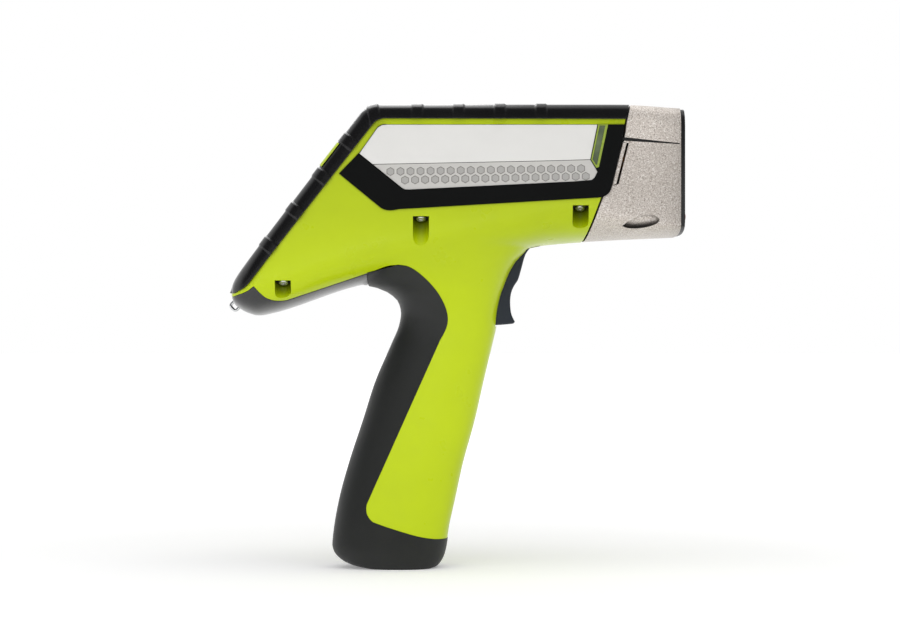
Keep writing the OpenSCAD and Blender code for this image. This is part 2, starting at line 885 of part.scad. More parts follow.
module detector() {
    color("#c9cbcc") translate([front_x - 10, 0, window_z - 5]) rotate([0, -112, 0]) {
        translate([0, 0, 5]) cylinder(h = 20, r = 7, $fn = 64);
        cylinder(h = 5, r = 4, $fn = 48);
        translate([0, 0, 25]) cylinder(h = 2, r = 8.5, $fn = 64);
    }
}

module hv_supply() {
    color("#d8d4c0") {
        translate([8, -26, 214.5]) cube([68, 52, 29]);
        rod(76, 84, 6, 0, 230);
    }
}

module heat_sink() {
    color("#8d9194") {
        translate([-2, -28, 246]) cube([100, 56, 2.6]);
        for (y = [-24 : 6 : 24])
            translate([-2, y - 0.7, 248.6]) cube([100, 1.4, 6]);
    }
}

module main_board() {
    color("#1d5c38") translate([-2, -39.4, 212]) cube([98, 1.6, 38]);
    color("#222") for (i = [0 : 4])
        translate([4 + 18 * i, -37.8, 220]) cube([12, 2, 14]);
}

module processor_board() {
    color("#1d5c38") on_panel() translate([40, -28, -15.5]) cube([68, 56, 1.6]);
    color("#222") on_panel() for (y = [-20, 4])
        translate([50, y, -18]) cube([18, 16, 2.5]);
}

module beacon_boards() {
    color("#1d5c38") for (side = [-1, 1])
        translate([118, side * 41, 240]) cube([5, 1.6, 22], center = true);
}

module speaker() {
    color("#3b3b3b") on_panel() translate([20, 14, -17]) cylinder(h = 4.5, r = 9, $fn = 48);
}

// ---------------------------------------------------------------- battery

module battery_case() {
    color("#3b3f45") in_battery_bay() translate([0, 0, battery_lift]) difference() {
        rounded_plate(battery_size, 5);
        for (x = [-9.5, 9.5])
            translate([x, 0, 2]) cylinder(h = battery_size[2] - 4, r = cell_r + 0.15, $fn = 48);
    }
}

module battery_cells() {
    color("#3f7fb5") in_battery_bay() for (x = [-9.5, 9.5], i = [0, 1])
        translate([x, 0, battery_lift + 2.5 + i * (cell_length + cell_button)]) {
            cylinder(h = cell_length, r = cell_r, $fn = 48);
            cylinder(h = cell_length + cell_button, r = 3, $fn = 32);
        }
}

module battery_contacts() {
    color("gold") in_battery_bay() translate([0, 0, battery_lift + battery_size[2] + 0.1])
        for (x = [-12, -4, 4, 12])
            translate([x - 1.5, -4, 0]) cube([3, 8, 2.5]);
}

module battery_door() {
    color("#232326") on_door() difference() {
        union() {
            difference() {
                rounded_plate(door_size, 3.7);
                translate([door_hinge_x, -20, -1]) cube([10, 40, 10]);
            }
            cross_pin(door_hinge_x, door_size[2] / 2, -8.5, 8.5, door_size[2] / 2);
            cross_pin(door_hinge_x, door_size[2] / 2, -14, 14, door_pin_r);
        }
        // Thumb grip
        for (i = [0 : 3])
            translate([-16 + 3 * i, -8, -1]) cube([1.2, 16, 1.5]);
    }
}

// ---------------------------------------------------------------- fittings

// Local -x points out of the loop, local x into the tail; the loop stands in the centre plane
module at_staple() {
    translate([-89.1, 0, 153.1]) rotate([90, -45, 0]) children();
}

module staple_legs(r) {
    for (y = [-staple_half_width, staple_half_width])
        translate([staple_depth, y, 0]) rotate([0, -90, 0])
            cylinder(h = staple_depth + staple_reach - staple_bend_r, r = r, $fn = 24);
}

module strap_staple() {
    straight = staple_half_width - staple_bend_r;
    color("silver") at_staple() {
        staple_legs(staple_wire_r);
        for (side = [-1, 1])
            translate([staple_bend_r - staple_reach, side * straight, 0])
                rotate([0, 0, side > 0 ? 90 : 180])
                    rotate_extrude(angle = 90, $fn = 48)
                        translate([staple_bend_r, 0]) circle(staple_wire_r, $fn = 24);
        translate([-staple_reach, -straight, 0]) rotate([-90, 0, 0])
            cylinder(h = 2 * straight, r = staple_wire_r, $fn = 24);
    }
}

module housing_screws() {
    color("#c8c8c8") for (side = [-1, 1])
        at_screws(side) {
            translate([0, 0, -0.2]) cylinder(h = screw_length + 0.2, r = screw_shank_r, $fn = 32);
            translate([0, 0, -2.2]) difference() {
                cylinder(h = 2.1, r = screw_head_r, $fn = 48);
                for (a = [0, 90])
                    rotate([0, 0, a]) translate([-2, -0.4, -1]) cube([4, 0.8, 1.9]);
            }
        }
}

housing_right();
housing_left();
bumper();
top_cover();
tail_cover();
grip_overmould();
side_band_right();
side_band_left();
label_plate_right();
label_plate_left();
beacon_lens_right();
beacon_lens_left();
control_panel();
touch_screen();
display_module();
nav_post();
nav_ring();
select_key();
power_key();
clear_key();
key_board();
nose_upper();
nose_lower();
nose_clip_right();
nose_clip_left();
front_gasket();
front_plate();
window_frame();
window_film();
interlock_button();
interlock_spring();
interlock_switch();
trigger();
trigger_pin();
trigger_spring();
trigger_switch();
chassis();
xray_tube();
collimator();
detector();
hv_supply();
heat_sink();
main_board();
processor_board();
beacon_boards();
speaker();
battery_case();
battery_cells();
battery_contacts();
battery_door();
strap_staple();
housing_screws();
nose_screws();
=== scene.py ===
"""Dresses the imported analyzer: smooth moulded skins, materials, floor, light and camera."""

import math
from bisect import bisect_right

import bmesh
import bpy
from mathutils import Matrix, Vector
from mathutils.bvhtree import BVHTree
from mathutils.interpolate import poly_3d_calc


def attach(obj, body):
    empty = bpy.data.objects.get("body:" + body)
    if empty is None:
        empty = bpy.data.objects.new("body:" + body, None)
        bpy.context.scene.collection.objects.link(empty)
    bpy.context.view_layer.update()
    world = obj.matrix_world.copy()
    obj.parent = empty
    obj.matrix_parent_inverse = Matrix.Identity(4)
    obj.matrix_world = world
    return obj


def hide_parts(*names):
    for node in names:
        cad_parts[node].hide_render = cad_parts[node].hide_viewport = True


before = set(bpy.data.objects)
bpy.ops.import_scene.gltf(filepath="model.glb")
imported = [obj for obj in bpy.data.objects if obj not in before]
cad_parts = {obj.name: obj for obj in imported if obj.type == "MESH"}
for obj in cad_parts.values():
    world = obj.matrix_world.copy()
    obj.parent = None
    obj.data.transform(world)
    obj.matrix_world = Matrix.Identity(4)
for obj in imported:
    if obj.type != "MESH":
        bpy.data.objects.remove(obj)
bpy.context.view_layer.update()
MM = 0.001

# ------------------------------------------------------------ camera

camera = bpy.data.objects.new("camera", bpy.data.cameras.new("camera"))
bpy.context.scene.collection.objects.link(camera)
camera.location = (0.0338, -1.4, 0.1423)
camera.rotation_euler = (math.radians(90), 0, 0)
camera.data.sensor_width = 36
camera.data.lens = 96.55
camera.data.clip_start = 0.05
bpy.context.scene.camera = camera

# ------------------------------------------------------------ sizes

# Millimetres, in the CAD source's frame: X to the nose, Y to the operator's left, Z up.
HALF_WIDTH = 46.0
TOP_Z = 264.5
SLANT = math.radians(52.3)
WALL = 3.2
SKIN = 1.7
SEAM = 0.3
TAIL_X = -90.5
FRONT_X = 164.0
CORNER_R = 12.0
CORNER_X = -6.9
CORNER_Z = TOP_Z - CORNER_R
BUMPER_PROUD = 1.2
BUMPER_X = 137.0
COLLAR_PROUD = 0.8
COLLAR_LENGTH = 6.8
PANEL_HALF = HALF_WIDTH - 12 + 0.5
PANEL_LOW, PANEL_HIGH = 13.0, 110.0
FAR = 120.0
SHARP = 30

# along x: share of the half width, underside, belly's height, the upper edge's fall at the ends,
# and the shoulders' width and height
PLAN = [(-90.5, 0.56), (-89.5, 0.66), (-87, 0.75), (-83, 0.83), (-77, 0.89), (-68, 0.935),
        (-50, 0.975), (-35, 1), (120, 1), (135, 0.985), (150, 0.95), (170, 0.90)]
UNDERSIDE = [(-90.5, 153.5), (-89.5, 151.6), (-87, 149.4), (-83, 147.2), (-77, 145.6),
             (-70, 146.8), (-24, 161.8), (30, 174), (60, 180.5), (78, 184.4), (90, 186.6),
             (111, 188.3), (170, 191.3)]
BELLY = [(-91, 24), (105, 24), (130, 15), (164, 7), (171, 7)]
END_ROUND = [(-91.7, 3.5), (-90.5, 1.6), (-89.5, 0.8), (-87.5, 0.2), (-85, 0), (137, 0), (164, 1.1)]
SHOULDER_WIDTH = [(137, 7), (160, 11), (171, 11)]
SHOULDER_HEIGHT = [(-14, 11), (-4, 7), (137, 7), (160, 10), (171, 10)]
# the grip at each height: rear, front and half width
GRIP = [(0, -15, 23.5, 17.4), (1.1, -20.5, 26.2, 18.4), (3, -26, 28, 19.2), (6, -30.4, 29.8, 19.7),
        (9, -33, 30.9, 20), (13, -34.2, 31.8, 20.2), (22, -33.4, 33, 20.2), (40, -30.2, 36.9, 19.8),
        (60, -24.8, 41.3, 19.3), (85, -16.6, 48.2, 19), (108, -9.2, 53.4, 18.9),
        (130, 0.3, 58.6, 19.3), (140, 4.4, 60.8, 20.4), (147, 5.6, 61.4, 21.7),
        (153, 4.3, 62.4, 23.6), (158, -0.3, 63.6, 25.6), (161.5, -6.6, 64.9, 27.4),
        (164, -14.5, 65.8, 28.8), (170, -18, 68.2, 31.4), (177, -12, 72.2, 33.4),
        (182.6, -4, 77.2, 34), (190, 4, 80, 32)]
# the housing's screws on one side: seat of each head, and top of each slot
SCREWS = [(-60.3, 35.2, 165.6), (17.5, 41.2, 201.4), (107.2, 36.6, 207.6)]
SLOT_TOPS = [165.4, 201.4, 207.6]
SCREW_TILT = math.radians(25)
SLOT_R = 4.5
BATTERY = (39.5, 21.5, 110)
BATTERY_LIFT = 9.4
BATTERY_LEAN = math.radians(12.4)
BAY_X = -4
DOOR_Z = 2.7
DOOR_TILT = math.radians(5)
CLEARANCE = 0.4
HALF_GAP = 0.06
BOSS_WALL = 1.8
GRIP_PROUD = 0.2
NOSE_IN = 0.2
BAND_DEPTH = 1.6
LABEL_DEPTH = 0.6
CELL_R = 2.5
TRIGGER_HALF = 7.5
TRIGGER_PIN = (79, 189)
PLATE_SCREWS = ((-31, 205), (-31, 250), (31, 205), (31, 250))
NAV_S = 28.0
NOISE_LOW, NOISE_HIGH = 0.3, 0.7

# outlines of the side view, as (X, Z)
BUMPER_LINE = [(-88, 158.4), (-82, 161.6), (-78.2, 165.6), (-10.4, 251.9), (-7.4, 254.9),
               (-3, 256.3), (132.6, 256), (134.9, 265.8)]
NOSE_LINE = [(109.7, 187), (130.4, 243), (132.2, 254), (135, 266)]
TAIL_LINE = [(-88.6, 156.6), (-81, 159.3), (-76.8, 162.2), (-71.1, 156.4), (-66.9, 154.5),
             (-62.7, 154.1), (-58, 154.7), (-9.7, 170.8), (-1, 173.8), (5.9, 174.2)]
SKIN_LINE = [(4.3, 174.2), (10.4, 173.2), (17.3, 168.8), (24.3, 161.9), (28.6, 155.8),
             (31.7, 148.8), (32.5, 142.7), (31.2, 137.5), (27.8, 131.0), (-13.6, 38.4),
             (-14.2, 34.8), (-13.4, 31.2), (-9.8, 27.3), (13.2, 19.8), (24.6, 17.5), (33, 17.2)]
SKIN_REAR_X = -13.0
BAND = [(-28.4, 225.3), (-17.4, 236.7), (-17.2, 236.5), (-6.8, 251.2), (-4.4, 252.6),
        (-1.7, 252.8), (131.9, 252.8), (130.3, 242.9), (124.4, 218.4), (123.2, 215.2), (120.9, 213),
        (117.3, 211.9), (5.7, 205.4), (0.9, 204.7), (-2.4, 205), (-5.2, 206.3)]
LENS = [(116.9, 252.8), (122.5, 252.8), (117.3, 228.9), (115.8, 228.4), (112.9, 233.1)]
LENS_CORE = [(117.7, 252.2), (120.9, 252.2), (116.3, 230.3), (115.7, 230.1), (113.7, 233.2)]
CLIP = [(130.9, 242.7), (133, 242.5), (127.2, 219.4), (125, 218.7)]
CLIP_GAP = 0.8
SCOOP = [(130.6, 196), (133.5, 198.2), (137.5, 200.3), (142, 201.8), (146, 202.3), (149.5, 201.6),
         (151.6, 199.8), (150.8, 198), (147.8, 196.4), (143.5, 195.3), (138.9, 194.8), (134, 195)]
SCOOP_DEPTH = 2.3
CELLS = ([(0.4 + 5.63 * i, 226.4 + 0.09 * i) for i in range(20)]
         + [(8.6 + 5.63 * i, 221.6 + 0.12 * i) for i in range(19)])
LABEL = [(-17.2, 236.5), (-6.8, 251.2), (-4.4, 252.6), (-1.7, 252.8), (116.6, 252.8),
         (112.6, 233.1), (115.4, 228.4), (116.6, 226.2), (114.9, 222.8), (113.4, 221.6),
         (102.7, 220.7), (10.9, 216.2), (8.6, 216.3), (6.9, 217.1)]
TRIGGER = [(79.5, 193), (75.2, 190.4), (71.4, 184), (66.5, 176.5), (62.4, 168), (59.4, 158),
           (58.4, 148), (58.2, 141.4), (60, 140.2), (70, 141), (71.2, 142.1), (70.6, 143.4),
           (69.3, 146.4), (68.7, 150), (68.6, 155), (69.3, 159.4), (70.9, 163), (73, 166.2),
           (74.8, 172), (77.4, 181), (80.8, 186), (82, 190.6)]
SEAM_LINE = [(129, 246), (163, 242.7), (163, 242.1), (129, 243.9)]
NOSE_SPLIT = [(90, 245), (129, 244.2), (163, 242.3), (190, 240.8)]
LABEL_SPLIT = [(-60, 229.7), (-9, 230.6), (85, 232.5), (140, 234)]

# collars along the deck and up the slant; signs on the panel, from its foot and middle
TOP_COLLARS = [15.4 + 23.2 * i for i in range(4)]
SLANT_COLLARS = [30.2 + 24.5 * i for i in range(4)]
KEY_TOP = -0.92
POWER_KEY_AT = (NAV_S, 22.6)
CLEAR_KEY_Y = -23.4
CHEVRON = [(0, 2.6), (2.1, 0.4), (1.75, 0), (0, 1.9), (-1.75, 0), (-2.1, 0.4)]

# where sections of the body's tail and of the grip's foot lie
TAIL_STATIONS = [-91.5, -91.2, -90.9, -90.65, -90.4, -90.2, -89.9, -89.5, -89, -88.4, -87.7, -86.8,
                 -85.8, -84.5, -83, -81.4, -79.7]
FOOT_HEIGHTS = [0, 0.3, 0.7, 1.1, 1.7, 2.3, 3, 4, 5, 6, 7.5, 9, 11, 13]

# ------------------------------------------------------------ curves and meshes


def hermite(a, b, slope_a, slope_b, t):
    return ((1 + 2 * t) * (1 - t) ** 2 * a + t * (1 - t) ** 2 * slope_a
            + t * t * (3 - 2 * t) * b + t * t * (t - 1) * slope_b)


def pchip(table):
    """A smooth curve through a table that never overshoots it."""
    xs = [p[0] for p in table]
    ys = [p[1] for p in table]
    slope = [(ys[i + 1] - ys[i]) / (xs[i + 1] - xs[i]) for i in range(len(xs) - 1)]
    m = [slope[0]]
    for a, b in zip(slope, slope[1:]):
        m.append(0 if a * b <= 0 else 2 * a * b / (a + b))
    m.append(slope[-1])

    def at(x):
        if x <= xs[0]:
            return ys[0]
        if x >= xs[-1]:
            return ys[-1]
        i = bisect_right(xs, x) - 1
        h = xs[i + 1] - xs[i]
        return hermite(ys[i], ys[i + 1], h * m[i], h * m[i + 1], (x - xs[i]) / h)

    return at


plan, underside, end_round = pchip(PLAN), pchip(UNDERSIDE), pchip(END_ROUND)
belly_height = pchip(BELLY)
shoulder_width, shoulder_height = pchip(SHOULDER_WIDTH), pchip(SHOULDER_HEIGHT)
blend_reach = pchip([(-24, 2.5), (-12, 5), (5, 12), (48, 12), (62, 6), (76, 2.5)])
grip_rear, grip_front, grip_half = (pchip([(row[0], row[k]) for row in GRIP]) for k in (1, 2, 3))


def spline(points, steps=6, corners=()):
    """Catmull-Rom through open points; runs over 30 mm stay straight and corners sharp."""
    out = []
    n = len(points)
    for i in range(n - 1):
        a, b = Vector(points[i]), Vector(points[i + 1])
        before = Vector(points[i - 1]) if i and i not in corners else a
        after = Vector(points[i + 2]) if i + 2 < n and i + 1 not in corners else b
        length = (b - a).length
        ta = tb = b - a
        if length <= 30:
            if i:
                ta = (b - before).normalized() * min(length, 2 * (a - before).length or length)
            tb = (after - a).normalized() * min(length, 2 * (after - b).length or length)
        out += [tuple(hermite(a, b, ta, tb, k / steps)) for k in range(steps)]
    out.append(tuple(points[-1]))
    return out


def mesh_object(name, points, faces):
    """An object of points in millimetres, its faces turned outwards."""
    mesh = bpy.data.meshes.new(name)
    mesh.from_pydata([Vector(p) * MM for p in points], [], faces)
    bm = bmesh.new()
    bm.from_mesh(mesh)
    bmesh.ops.recalc_face_normals(bm, faces=bm.faces)
    bm.to_mesh(mesh)
    bm.free()
    obj = bpy.data.objects.new(name, mesh)
    bpy.context.scene.collection.objects.link(obj)
    return obj


def loft(name, rings):
    """A closed skin over rings of equally many points."""
    n = len(rings[0])
    points = [p for ring in rings for p in ring]
    faces = [tuple(reversed(range(n))), tuple(range((len(rings) - 1) * n, len(rings) * n))]
    for j in range(len(rings) - 1):
        for i in range(n):
            k = (i + 1) % n
            faces.append((j * n + i, j * n + k, (j + 1) * n + k, (j + 1) * n + i))
    return mesh_object(name, points, faces)


def prism(name, outline, low, high, axis="y", place=None):
    """An outline drawn across the named axis; on y it is (X, Z), on z (X, Y), on x (Y, Z)."""
    turn = {"y": lambda p, d: (p[0], d, p[1]), "z": lambda p, d: (p[0], p[1], d),
            "x": lambda p, d: (d, p[0], p[1])}[axis]
    rings = [[turn(p, low) for p in outline], [turn(p, high) for p in outline]]
    if place:
        rings = [[tuple(place @ Vector(p)) for p in ring] for ring in rings]
    return loft(name, rings)


def block(name, lo, hi, place=None):
    """A rectangular tool between two corners."""
    return prism(name, [(lo[0], lo[1]), (hi[0], lo[1]), (hi[0], hi[1]), (lo[0], hi[1])],
                 lo[2], hi[2], "z", place)


def rounded(width, height, r, steps=10, centre=(0, 0)):
    """A rectangle's outline with rounded corners."""
    out = []
    for cx, cy, start in ((1, 1, 0), (-1, 1, 90), (-1, -1, 180), (1, -1, 270)):
        for k in range(steps + 1):
            a = math.radians(start + 90 * k / steps)
            out.append((centre[0] + cx * (width / 2 - r) + r * math.cos(a),
                        centre[1] + cy * (height / 2 - r) + r * math.sin(a)))
    return out


def round_outline(r, steps=32, centre=(0, 0)):
    return [(centre[0] + r * math.cos(2 * math.pi * k / steps),
             centre[1] + r * math.sin(2 * math.pi * k / steps)) for k in range(steps)]


def bake(obj):
    """Applies an object's modifiers."""
    bpy.context.view_layer.update()
    graph = bpy.context.evaluated_depsgraph_get()
    made = bpy.data.meshes.new_from_object(obj.evaluated_get(graph), depsgraph=graph)
    obj.modifiers.clear()
    old, obj.data = obj.data, made
    bpy.data.meshes.remove(old)
    return obj


def boolean(obj, tools, how):
    """Works the tools on obj one by one, and uses them up."""
    for tool in tools:
        mod = obj.modifiers.new("boolean", "BOOLEAN")
        mod.operation = how
        mod.solver = "MANIFOLD"
        mod.object = tool
        bake(obj)
        drop(tool)
    return obj


def cut(obj, *tools):
    return boolean(obj, tools, "DIFFERENCE")


def meet(obj, *tools):
    return boolean(obj, tools, "INTERSECT")


def fuse(obj, *tools):
    return boolean(obj, tools, "UNION")


def join(name, objects):
    """One object of several that don't touch."""
    points, faces = [], []
    for obj in objects:
        faces += [[len(points) + i for i in poly.vertices] for poly in obj.data.polygons]
        points += [v.co / MM for v in obj.data.vertices]
        drop(obj)
    return mesh_object(name, points, faces)


def bevel(obj, width, segments, angle):
    """Rounds the edges sharper than an angle in degrees."""
    mod = obj.modifiers.new("bevel", "BEVEL")
    mod.width = width * MM
    mod.segments = segments
    mod.limit_method = "ANGLE"
    mod.angle_limit = math.radians(angle)
    return bake(obj)


def inset(points, d):
    """A closed outline moved inwards by d."""
    turn = sum(a[0] * b[1] - b[0] * a[1] for a, b in zip(points, points[1:] + points[:1]))
    sign = 1 if turn > 0 else -1
    out = []
    for i, p in enumerate(points):
        before, after = Vector(points[i - 1]), Vector(points[(i + 1) % len(points)])
        here = Vector(p)
        na = Vector((-(here - before).y, (here - before).x)).normalized() * sign
        nb = Vector((-(after - here).y, (after - here).x)).normalized() * sign
        out.append(tuple(here + (na + nb) * d / (1 + na.dot(nb))))
    return out


def hexagon(centre, r):
    return [(centre[0] + r * math.cos(math.radians(30 + 60 * k)),
             centre[1] + r * math.sin(math.radians(30 + 60 * k))) for k in range(6)]


def drop(obj):
    mesh = obj.data
    bpy.data.objects.remove(obj)
    bpy.data.meshes.remove(mesh)


def copy_of(obj, name):
    made = obj.copy()
    made.data = obj.data.copy()
    made.name = name
    bpy.context.scene.collection.objects.link(made)
    return made


def panel_place():
    """Local x runs up the slanted face, local z out of it."""
    tx = CORNER_X - CORNER_R * math.sin(SLANT)
    tz = CORNER_Z + CORNER_R * math.cos(SLANT)
    foot = Vector((TAIL_X, 0, tz - (tx - TAIL_X) * math.tan(SLANT)))
    return Matrix.Translation(foot) @ Matrix.Rotation(-SLANT, 4, "Y")


PANEL = panel_place()
BAY = Matrix.Translation((BAY_X, 0, 0)) @ Matrix.Rotation(BATTERY_LEAN, 4, "Y")
ON_DOOR = Matrix.Translation((BAY_X, 0, DOOR_Z)) @ Matrix.Rotation(DOOR_TILT, 4, "Y")

# ------------------------------------------------------------ the moulded forms


def top_edge(x, d):
    """Height of the side view's upper edge, d inside it: deck, rounded corner and slant."""
    r = CORNER_R - d
    tx = CORNER_X - r * math.sin(SLANT)
    tz = CORNER_Z + r * math.cos(SLANT)
    if x >= CORNER_X:
        z = CORNER_Z + r
    elif x > tx:
        z = CORNER_Z + math.sqrt(r * r - (CORNER_X - x) ** 2)
    else:
        z = tz - (tx - x) * math.tan(SLANT)
    return z - end_round(x)


def body_ring(x, top_in, side_in):
    """The body's section at x: flat top, round shoulders, straight sides and a full belly."""
    w = HALF_WIDTH * plan(x) - side_in
    z_top = top_edge(x, top_in)
    z_low = underside(x) + side_in
    belly = min(belly_height(x), 0.55 * (z_top - z_low))
    z_mid = z_low + belly
    shoulder = min(shoulder_width(x), 0.4 * w)
    drop_z = min(shoulder_height(x), 0.8 * (z_top - z_mid))
    half = [((w - shoulder) * k / 5, z_top) for k in range(5)]
    for k in range(9):
        a = math.radians(11.25 * k)
        half.append((w - shoulder + shoulder * math.sin(a), z_top - drop_z + drop_z * math.cos(a)))
    z_side = z_top - drop_z
    half += [(w, z_side + (z_mid - z_side) * k / 8) for k in range(1, 8)]
    for k in range(18):
        a = math.radians(83 * k / 17)
        half.append((w * math.cos(a) ** 0.77, z_mid - belly * math.sin(a) ** 0.77))
    y, z = half[-1]
    half += [(y * (1 - k / 3), z) for k in range(1, 4)]
    half[0] = (0, half[0][1])
    half[-1] = (0, half[-1][1])
    return [(x, p[0], p[1]) for p in half] + [(x, -p[0], p[1]) for p in reversed(half[1:-1])]


def stations(start, end, step):
    """Places of the body's sections, closer at the tail and round the corner."""
    xs = [start] + [x for x in TAIL_STATIONS if start + 0.1 < x < end]
    x = -78.0
    while x < end - 0.3 * step:
        if x > start:
            xs.append(x)
        x += 0.7 if CORNER_X - 12 < x < CORNER_X + 1 else step
    return xs + [end]


def body(name, top_in, side_in, end_x=FRONT_X):
    """The body's form, moved in by top_in above and by side_in elsewhere."""
    return loft(name, [body_ring(x, top_in, side_in)
                       for x in stations(TAIL_X + side_in, end_x, 2.2)])


def grip(name, d, foot=0.0):
    """The grip's form moved in by d, from the height of its foot up into the body."""
    heights = [z for z in FOOT_HEIGHTS if z >= foot]
    z = 15.0
    while z < 190:
        heights.append(z)
        z += 2.5 if z > 125 else 4.0
    heights.append(190)
    rings = []
    for z in reversed(heights):
        rear, front, half = grip_rear(z) + d, grip_front(z) - d, grip_half(z) - d
        ring = []
        for k in range(80):
            t = 2 * math.pi * k / 80
            c, s = math.cos(t), math.sin(t)
            across, along = math.copysign(abs(s) ** 0.74, s), math.copysign(abs(c) ** 0.74, c)
            ring.append(((rear + front) / 2 + (front - rear) / 2 * along, half * across, z))
        rings.append(ring)
    return loft(name, rings)


def surface(make, *args):
    """A form's distance from any point, with its smooth normal there."""
    obj = make("surface", *args)
    mesh = obj.data
    mesh.polygons.foreach_set("use_smooth", [True] * len(mesh.polygons))
    mesh.set_sharp_from_angle(angle=math.radians(SHARP))
    points = [v.co.copy() for v in mesh.vertices]
    faces = [tuple(p.vertices) for p in mesh.polygons]
    normals = [[mesh.corner_normals[k].vector.copy() for k in p.loop_indices]
               for p in mesh.polygons]
    tree = BVHTree.FromPolygons(points, faces)
    drop(obj)

    def nearest(point):
        place, flat, k, distance = tree.find_nearest(point)
        if len(faces[k]) > 4:
            return distance, flat
        shares = poly_3d_calc([points[i] for i in faces[k]], place)
        smooth = sum((n * s for n, s in zip(normals[k], shares)), Vector())
        return distance, smooth.normalized()

    return nearest


def blended(point, forms):
    """At a point of two blended forms: how far the fill stands out, the distance, the way out."""
    near, far = sorted((form(point) for form in forms), key=lambda hit: hit[0])
    reach = blend_reach(point.x / MM) * MM
    share = max(0, 1 - (far[0] - near[0]) / reach)
    return reach / 4 * share ** 2, near[0], near[1] * (1 - share / 2) + far[1] * (share / 2)


def blend(obj, forms):
    """Fills the crease between two forms, so that one surface runs into the other."""
    for vertex in obj.data.vertices:
        fill, distance, way = blended(vertex.co, forms)
        if fill > 0:
            vertex.co += way * (fill / way.length_squared)
    return obj


def true_normals(obj, forms):
    """Shades an outer surface with the smooth normals of the forms it was cut from."""
    mesh = obj.data
    found = [blended(v.co, forms) for v in mesh.vertices]
    normals = [Vector()] * len(mesh.loops)
    for polygon in mesh.polygons:
        for k, v in zip(polygon.loop_indices, polygon.vertices):
            fill, distance, way = found[v]
            if distance < fill + 0.3 * MM and way.angle(polygon.normal, 9) < math.radians(28):
                normals[k] = way.normalized()
    mesh.normals_split_custom_set(normals)


def whole(name, d):
    """Body and grip in one form moved in by d, blended where it is an outer one."""
    form = fuse(body(name, d, d), grip("grip", d, max(d, 0)))
    return blend(form, [surface(body, d, d), surface(grip, d, max(d, 0))]) if d <= 0 else form


def region(name, outline, low=-FAR, high=FAR):
    """A side view's outline, run across from low to high."""
    return prism(name, outline, low, high)


def moved(outline, x, z=0.0):
    return [(p[0] + x, p[1] + z) for p in outline]


def outer(side, inner, outside=FAR - HALF_WIDTH):
    """A span across one side, its ends measured outwards from the side's face."""
    return sorted((side * (HALF_WIDTH + inner), side * (HALF_WIDTH + outside)))


def bumper_region():
    line = spline(BUMPER_LINE[:-1], 6) + [BUMPER_LINE[-1]]
    return region("bumper_region", line + [(136, 300), (-110, 300), (-110, 158.4)])


def nose_region(shift=0.0):
    return region("nose_region", moved(spline(NOSE_LINE, 4), shift)
                  + [(200, 266), (200, 180), (109.7 + shift, 180)])


def tail_region(gap=0.0):
    line = spline(TAIL_LINE, 6, corners=(2,))
    return region("tail_region", [(-110, 156.6)] + moved(line, 0, gap)
                  + [(SKIN_REAR_X + gap + 18, 160), (SKIN_REAR_X + gap, 160),
                     (SKIN_REAR_X + gap, 130), (-110, 130)])


def skin_region():
    return region("skin_region", [(SKIN_REAR_X, 169.8)] + spline(SKIN_LINE, 6)
                  + [(60, 17.2), (60, -10), (-80, -10), (-80, 140), (SKIN_REAR_X, 140)])


def finish_piece(obj, look, replaced=(), body_name="housing", angle=SHARP,
                 forms=None):
    """Cleans a piece, gives it its look and even shading, and joins it to its body."""
    bm = bmesh.new()
    bm.from_mesh(obj.data)
    bmesh.ops.remove_doubles(bm, verts=bm.verts, dist=0.01 * MM)
    bmesh.ops.dissolve_degenerate(bm, edges=bm.edges, dist=0.02 * MM)
    bm.to_mesh(obj.data)
    bm.free()
    obj.data.materials.clear()
    obj.data.materials.append(M[look])
    obj.data.polygons.foreach_set("use_smooth", [True] * len(obj.data.polygons))
    obj.data.set_sharp_from_angle(angle=math.radians(angle))
    if forms:
        true_normals(obj, forms)
    else:
        obj.modifiers.new("even", "WEIGHTED_NORMAL").keep_sharp = True
    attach(obj, body_name)
    if replaced:
        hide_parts(*replaced)
    return obj


# ------------------------------------------------------------ materials


def material(name, colour, roughness, metallic=0.0, **extra):
    """A Principled material with its uniform values on the shader's own sockets."""
    mat = bpy.data.materials.new(name)
    mat.use_nodes = True
    values = {"Base_Color": (*colour, 1), "Roughness": roughness, "Metallic": metallic, **extra}
    for key, value in values.items():
        socket(mat, key.replace("_", " ")).default_value = value
    return mat


def socket(mat, name):
    return mat.node_tree.nodes["Principled BSDF"].inputs[name]


def node(mat, kind, **values):
    """A node of a material or world, with its properties and input values."""
    made = mat.node_tree.nodes.new(kind)
    for key, value in values.items():
        if hasattr(made, key):
            setattr(made, key, value)
        else:
            made.inputs[key.replace("_", " ")].default_value = value
    return made


def link(mat, a, b):
    mat.node_tree.links.new(a, b)


def coordinates(mat):
    return node(mat, "ShaderNodeTexCoord").outputs["Object"]


def noise(mat, scale, detail=2.0, roughness=0.5, where=None):
    made = node(mat, "ShaderNodeTexNoise", Scale=scale, Detail=detail, Roughness=roughness)
    link(mat, where or coordinates(mat), made.inputs["Vector"])
    return made.outputs["Fac"]


def ramp(mat, source, stops):
    made = node(mat, "ShaderNodeValToRGB")
    link(mat, source, made.inputs["Fac"])
    elements = made.color_ramp.elements
    while len(elements) < len(stops):
        elements.new(0.5)
    for element, (position, colour) in zip(elements, stops):
        element.position = position
        element.color = (*colour, 1)
    return made.outputs["Color"]


def vary(mat, source, low, high):
    """Drives the roughness from a noise between two values."""
    made = node(mat, "ShaderNodeMapRange", From_Min=NOISE_LOW, From_Max=NOISE_HIGH,
                To_Min=low, To_Max=high)
    link(mat, source, made.inputs["Value"])
    link(mat, made.outputs["Result"], socket(mat, "Roughness"))


